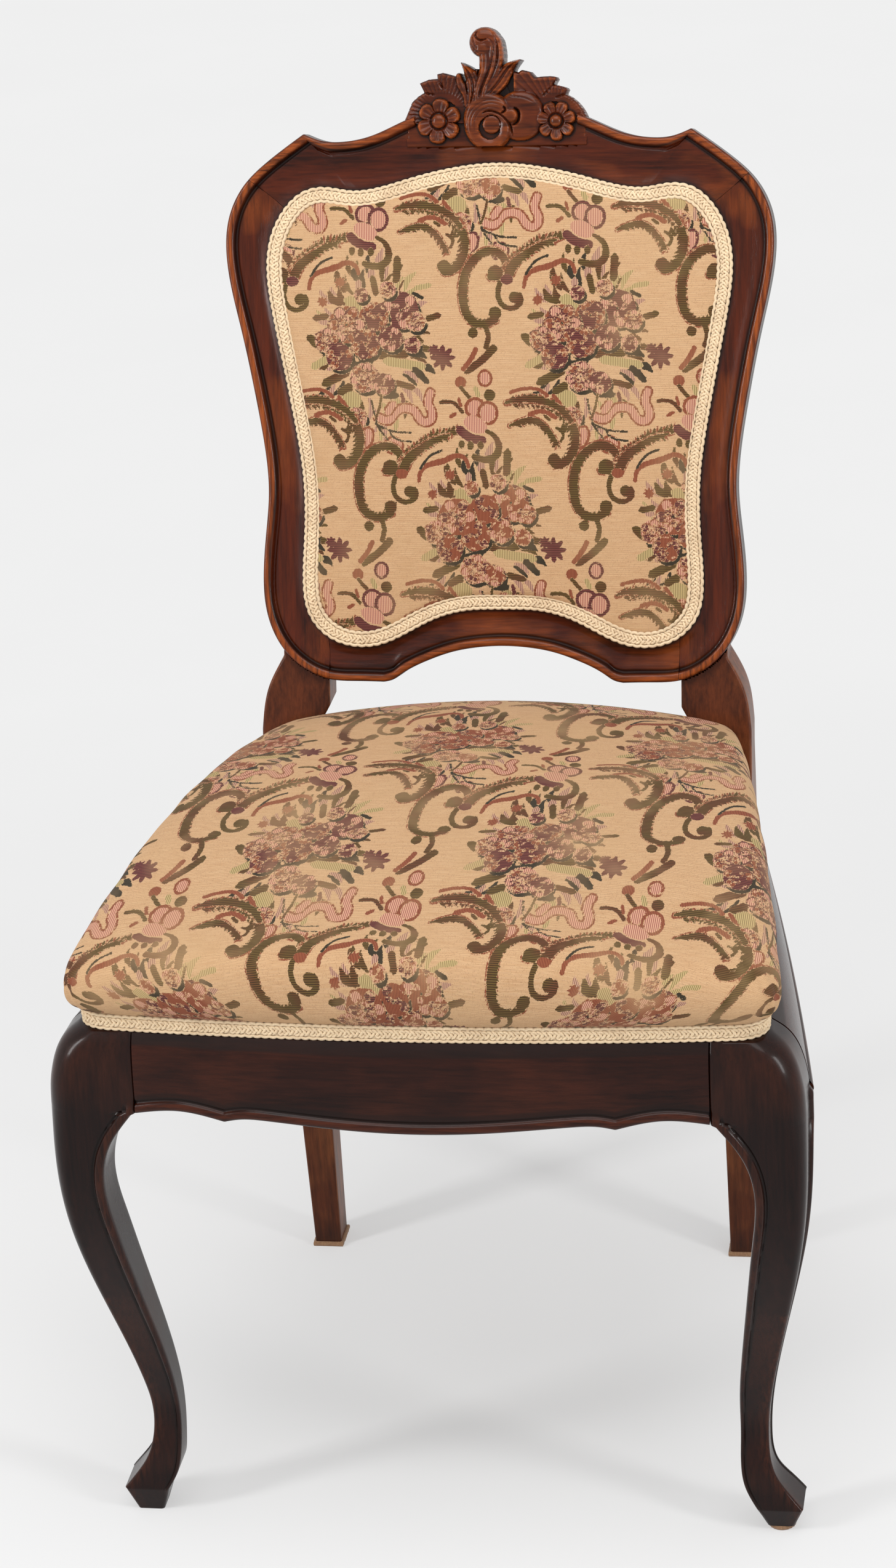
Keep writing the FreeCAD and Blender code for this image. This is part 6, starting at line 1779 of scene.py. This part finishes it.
def mound(inside, base, rise, rounding):
    """Height of a raised form with a rounded edge: base plus a quarter circle of its distance inside."""
    share = np.clip(inside / rounding, 0, 1)
    return np.where(inside > 0, base + rise * np.sqrt(np.clip(1 - (1 - share) ** 2, 0, 1)), -99.0)


def cut(places, points, width, depth):
    """Depth of a gouge along a line, tapering to both its ends."""
    gap, place = distance(places, spline(points, 24) if len(points) > 2 else np.asarray(points, float))
    taper = np.sqrt(np.clip(1 - (2 * place - 1) ** 4, 0, 1))
    return depth * taper * np.exp(-(gap / (width / 2 * np.maximum(taper, 0.15))) ** 2)


def rosette_height(places, centre, reach, petals, turn, button):
    """A rosette: petals that dish and curl up to a lip, with three flutes each, round a domed button."""
    radius, angle = polar(places, centre)
    local = ((angle + turn) * petals / (2 * math.pi)) % 1 * 2 - 1
    outline = reach * (1 - 0.30 * abs(local) ** 3.2)
    share = radius / outline
    lip = 0.2 + 2.4 * np.clip(share, 0, 1) ** 2.2
    flutes = 0.38 * np.cos(local * 3 * math.pi) * blend(1.0, 0.78, share) * blend(0.3, 0.5, share)
    parting = 2.2 * np.exp(-((1 - abs(local)) / 0.10) ** 2) * blend(0.35, 0.8, share)
    body = np.where(share < 1, lip - flutes - parting - 3.2 * np.clip((share - 0.86) / 0.14, 0, 1) ** 2.5,
                    -99.0)
    dome = np.sqrt(np.clip(1 - (radius / button) ** 2, 0, 1))
    well = 1.3 * np.exp(-((radius - button - 0.6) / 1.1) ** 2)
    return np.maximum(body - well, np.where(radius < button, 0.4 + 3.0 * dome, -99.0))


def scroll_height(places):
    """The scroll: an eye, a gouge below it, a band as wide as its angle says, and flutes round it."""
    radius, angle = polar(places, EYE)
    turn = np.degrees(angle) % 360
    outer = np.interp(turn, (0, 60, 100, 140, 180, 225, 270, 315, 360),
                      (15.6, 22, 26, 25, 22, 21.2, 20.2, 17.6, 15.6))
    below = np.radians(np.interp(turn, (135, 250, 335), (0, 90, 180)))
    inner = EYE_REACH + 0.3 + 4.2 * np.clip(np.sin(below), 0, 1)
    inside = outer - radius
    across = np.clip((radius - inner) / np.maximum(outer - inner, 1), 0, 1)
    band = mound(inside, -2.6, 5.2, 4.2) + 1.1 * np.sin(math.pi * np.clip(across, 0, 1)) * (inside > 0)
    band = band - 3.6 * (radius < inner) * (radius > EYE_REACH)
    eye = np.where(radius < EYE_REACH, 1.9 + 1.5 * np.sqrt(np.clip(1 - (radius / EYE_REACH) ** 4, 0, 1)),
                   -99.0)
    flutes = sum(0.5 * np.exp(-((radius - reach) / 0.55) ** 2) * blend(40, 90, turn) * blend(215, 170, turn)
                 for reach in (13.4, 16.4, 18.9))
    return np.maximum(np.where(radius < EYE_REACH, -99.0, band - flutes), eye)


def crest_inside(places):
    """How far places lie inside the cresting's silhouette, as the union of its parts."""
    gap, _ = distance(places, np.concatenate([CARVED_EDGE, CARVED_EDGE[:1]]))
    hit = np.zeros(places.shape[:-1], bool)
    for (x0, v0), (x1, v1) in zip(CARVED_EDGE, np.roll(CARVED_EDGE, -1, axis=0)):
        crosses = (v0 > places[..., 1]) != (v1 > places[..., 1])
        hit ^= crosses & (places[..., 0] < x0 + (x1 - x0) * (places[..., 1] - v0)
                          / (v1 - v0 if v1 != v0 else 1e-9))
    parts = [np.where(hit, gap, -gap), ribbon(CROOK, CROOK_WIDTHS, places)[0],
             HEAD_REACH - np.hypot(places[..., 0] - HEAD[0], places[..., 1] - HEAD[1])]
    for points, widths in ((LEFT_LEAF, LEFT_LEAF_WIDTHS), (LEFT_LOBE, LEFT_LOBE_WIDTHS),
                           (RIGHT_LEAF, RIGHT_LEAF_WIDTHS)):
        parts.append(ribbon(points, widths, places)[0])
    return np.max(parts, axis=0)


def crest_height(places):
    """The cresting's relief: the highest of its raised forms over a sunk ground, less its gouges."""
    x, v = places[..., 0], places[..., 1]
    height = -8.4 + 3.3 * blend(361, 366.5, v) - 1.4 * blend(374, 392, v)
    for centre, low in (((-41, 388), -1), ((46, 386), 1)):
        radius, angle = polar(places, centre)
        saw = (angle * FAN_PITCH) % 1
        teeth = 1.05 * np.where(saw < 0.78, saw / 0.78, (1 - saw) / 0.22)
        fan = -3.4 + teeth * blend(15, 22, radius) + 1.2 * blend(16, 34, radius)
        height = np.where((x * low > 14) & (radius > 12) & (v > 383), np.maximum(height, fan), height)
    height = np.maximum(height, mound(SHELL_REACH - np.hypot(x - SHELL[0], v - SHELL[1]), -3.0, 4.6, 7.0))
    for points, widths, flutes, top in ((LEFT_LOBE, LEFT_LOBE_WIDTHS, 1, 2.6),
                                        (LEFT_LEAF, LEFT_LEAF_WIDTHS, 3, 3.4),
                                        (RIGHT_LEAF, RIGHT_LEAF_WIDTHS, 3, 3.4)):
        inside, across = ribbon(points, widths, places)
        body = mound(inside, -2.6, top + 1.2, 2.2) - 0.75 * np.cos(across * flutes * math.pi)
        height = np.maximum(height, np.where(inside > 0, body, -99.0))
    height = np.maximum(height, scroll_height(places))
    inside, across = ribbon(CROOK, CROOK_WIDTHS, places)
    body = mound(inside, -1.8, 4.6, 3.2) - 0.7 * np.cos((across - 0.15) * 2.6 * math.pi) * blend(460, 436, v)
    height = np.maximum(height, np.where(inside > 0, body * blend(393, 404, v) + height * blend(404, 393, v),
                                         -99.0))
    head = mound(HEAD_REACH - np.hypot(x - HEAD[0], v - HEAD[1]), -2.2, 5.2, 7.5)
    nose = mound(6.3 - np.hypot(x + 9.4, v - 439.2), 0.6, 3.2, 5.5)
    height = np.maximum(height, np.maximum(head, nose))
    height = np.maximum(height, mound(5.6 - np.hypot(x - 12.4, v - 388.2), 0.4, 3.2, 3.0))
    for width, depth, *points in GOUGES:
        height = height - cut(places, points, width, depth)
    for rosette in ROSETTES:
        height = np.maximum(height, rosette_height(places, *rosette))
    return np.clip(height, -9.0, 4.2)


def smoothed(field, reach):
    """A field averaged over a square window, twice."""
    for _ in range(2):
        for axis in (0, 1):
            field = np.mean([np.roll(field, shift, axis) for shift in range(-reach, reach + 1)], axis=0)
    return field


def carved_cells(kept):
    """Faces of the grid's cells whose four corners are kept, and the edges that only one of them has."""
    rows, columns = kept.shape
    cells = kept[:-1, :-1] & kept[:-1, 1:] & kept[1:, 1:] & kept[1:, :-1]
    quads = grid_faces(rows, columns)[cells.ravel()]
    edges = np.concatenate([quads[:, [0, 1]], quads[:, [1, 2]], quads[:, [2, 3]], quads[:, [3, 0]]])
    keys = edges.min(1) * rows * columns + edges.max(1)
    _, first, count = np.unique(keys, return_index=True, return_counts=True)
    return quads, edges[first[count == 1]]


def add_carving():
    """The cresting as one carved block: relief in front, walls along its silhouette, a flat back."""
    x, v = np.arange(*CARVING_X, CARVING_STEP), np.arange(*CARVING_V, CARVING_STEP)
    places = np.stack(np.meshgrid(x, v), -1)
    inside = crest_inside(places)
    height = crest_height(places) - 2.2 * blend(1.6, 0.0, inside) * (v > 372)[:, None]
    around = smoothed(height, 3)
    slope = np.stack(np.gradient(inside, CARVING_STEP), -1)[..., ::-1]
    slope /= np.maximum(np.linalg.norm(slope, axis=-1), 0.3)[..., None]
    moved = places - slope * np.minimum(inside, 0)[..., None]
    quads, rim = carved_cells(inside > -0.75 * CARVING_STEP)
    total = inside.size
    walls = np.stack([rim[:, 1], rim[:, 0], rim[:, 0] + total, rim[:, 1] + total], 1)
    faces = np.concatenate([quads, quads[:, ::-1] + total, walls])
    used, flat = np.unique(faces, return_inverse=True)
    spot = np.tile(moved.reshape(-1, 2), (2, 1))[used]
    level = np.concatenate([height.ravel(), np.full(total, -CREST_BACK)])[used]
    # Painted shade in the crevices and on the deep ground, painted highlight with wear on the raised forms,
    # some painted shade on the walls and flat back.
    hollow = np.clip((around - height) * 0.55 + blend(-5.2, -7.0, height) * 0.8, 0, 1)
    proud = np.clip((height - around) * 0.45 + blend(0, 3.6, height) * 0.2, 0, 1)
    finish = np.zeros((2 * total, 3))
    finish[:total, 0], finish[:total, 1] = hollow.ravel(), proud.ravel()
    finish[total:, 0] = 0.3
    make_piece("crest_carving", on_back(spot[:, 0], spot[:, 1], level), flat.reshape(faces.shape), BACK_WOOD,
               "polished_wood", ("crest_rail",),
               {"grain": np.column_stack([spot, level]) * MM, "finish": finish[used]}, crease=50)


add_carving()


# Camera, floor and light.


CAMERA_AZIMUTH, CAMERA_ELEVATION, CAMERA_ROLL = (math.radians(angle) for angle in (9.2, 23.3, -3.2))
CAMERA_DISTANCE = 3.0001
CAMERA_AIM = Vector((0.0452, SHIFT * MM, 0.5204))
PHOTO_WIDTH, PHOTO_HEIGHT = 1456, 2547
LENS_PIXELS = 6609.8
LENS_CENTRE = (850.5, 1258.4)
SENSOR = 36


def add_to_scene(name, data):
    """A new object of the scene."""
    made = bpy.data.objects.new(name, data)
    bpy.context.scene.collection.objects.link(made)
    return made


def add_camera():
    """The photograph's viewpoint, turned by its azimuth, elevation and roll about the chair."""
    level = math.cos(CAMERA_ELEVATION)
    back = Vector((math.sin(CAMERA_AZIMUTH) * level, -math.cos(CAMERA_AZIMUTH) * level,
                   math.sin(CAMERA_ELEVATION)))
    right = (-back).cross(Vector((0, 0, 1))).normalized()
    up = right.cross(-back)
    across = math.cos(CAMERA_ROLL) * right + math.sin(CAMERA_ROLL) * up
    upward = -math.sin(CAMERA_ROLL) * right + math.cos(CAMERA_ROLL) * up
    place = CAMERA_AIM + back * CAMERA_DISTANCE
    camera = add_to_scene("camera", bpy.data.cameras.new("camera"))
    camera.matrix_world = Matrix((*zip(across, upward, back, place), (0, 0, 0, 1)))
    camera.data.sensor_width = camera.data.sensor_height = SENSOR
    camera.data.sensor_fit = "VERTICAL"
    camera.data.lens = LENS_PIXELS / PHOTO_HEIGHT * SENSOR
    camera.data.shift_x = (PHOTO_WIDTH / 2 - LENS_CENTRE[0]) / PHOTO_HEIGHT
    camera.data.shift_y = (LENS_CENTRE[1] - PHOTO_HEIGHT / 2) / PHOTO_HEIGHT
    bpy.context.scene.camera = camera


def seen_directly(tree):
    """1 for rays of the camera and of gloss, 0 for the others."""
    seen = node(tree, "LightPath").outputs
    return maths("MAXIMUM", seen["Is Camera Ray"], seen["Is Glossy Ray"])


def add_floor():
    """A wide pale floor that keeps the chair's shadow."""
    mesh = bpy.data.meshes.new("floor")
    side = np.linspace(-14, 14, 3)
    grid = np.stack(np.meshgrid(side, side + 8, indexing="ij"), -1).reshape(-1, 2)
    mesh.from_pydata(np.column_stack([grid, np.zeros(len(grid))]).tolist(), [], grid_faces(3, 3).tolist())
    made, tree, shader = material("pale_floor")
    place = own_place(tree)
    pale = mixed(noise(place, 3.0, 4.0), paint(238, 238, 238), paint(241, 241, 241))
    fill_all(shader, Base_Color=pale, Roughness=0.9, Specular_IOR_Level=0.1)
    far = node(tree, "VectorMath", operation="LENGTH", I0=place).outputs["Value"]
    share = times(stretched(far, -1.0, 1.5), seen_directly(tree))
    even = node(tree, "Emission", Color=pale, Strength=1.0).outputs[0]
    both = node(tree, "MixShader", I0=share, I1=tree.nodes["Principled BSDF"].outputs[0], I2=even)
    fill(tree.nodes["Material Output"].inputs[0], both.outputs[0])
    mesh.materials.append(made)
    add_to_scene("floor", mesh)


def softbox(name, place, aim, width, height, power):
    """A large soft lamp that looks at a point."""
    lamp = bpy.data.lights.new(name, "AREA")
    lamp.shape = "RECTANGLE"
    lamp.size, lamp.size_y, lamp.energy = width, height, power
    place, aim = Vector(place), Vector(aim)
    turned = (aim - place).to_track_quat("-Z", "Y").to_matrix().to_4x4()
    add_to_scene(name, lamp).matrix_world = Matrix.Translation(place) @ turned


def add_light():
    """Two softboxes at the sides, one above in front, and an even pale surround."""
    softbox("softbox_left", (-2.3, -1.5, 1.7), (0, 0, 0.5), 0.45, 1.7, 42)
    softbox("softbox_right", (2.3, -1.3, 1.5), (0, 0, 0.5), 0.40, 1.5, 30)
    softbox("softbox_above", (0.2, -0.9, 3.2), (0, 0, 0.3), 2.4, 1.8, 48)
    world = bpy.data.worlds.new("studio")
    bpy.context.scene.world = world
    world.use_nodes = True
    background = world.node_tree.nodes["Background"].inputs
    strength = maths("MULTIPLY_ADD", seen_directly(world.node_tree), 0.47, 0.40)
    fill_all(background, Color=(1, 1, 1, 1), Strength=strength)


add_camera()
add_floor()
add_light()
bpy.context.scene.view_settings.view_transform = "Standard"
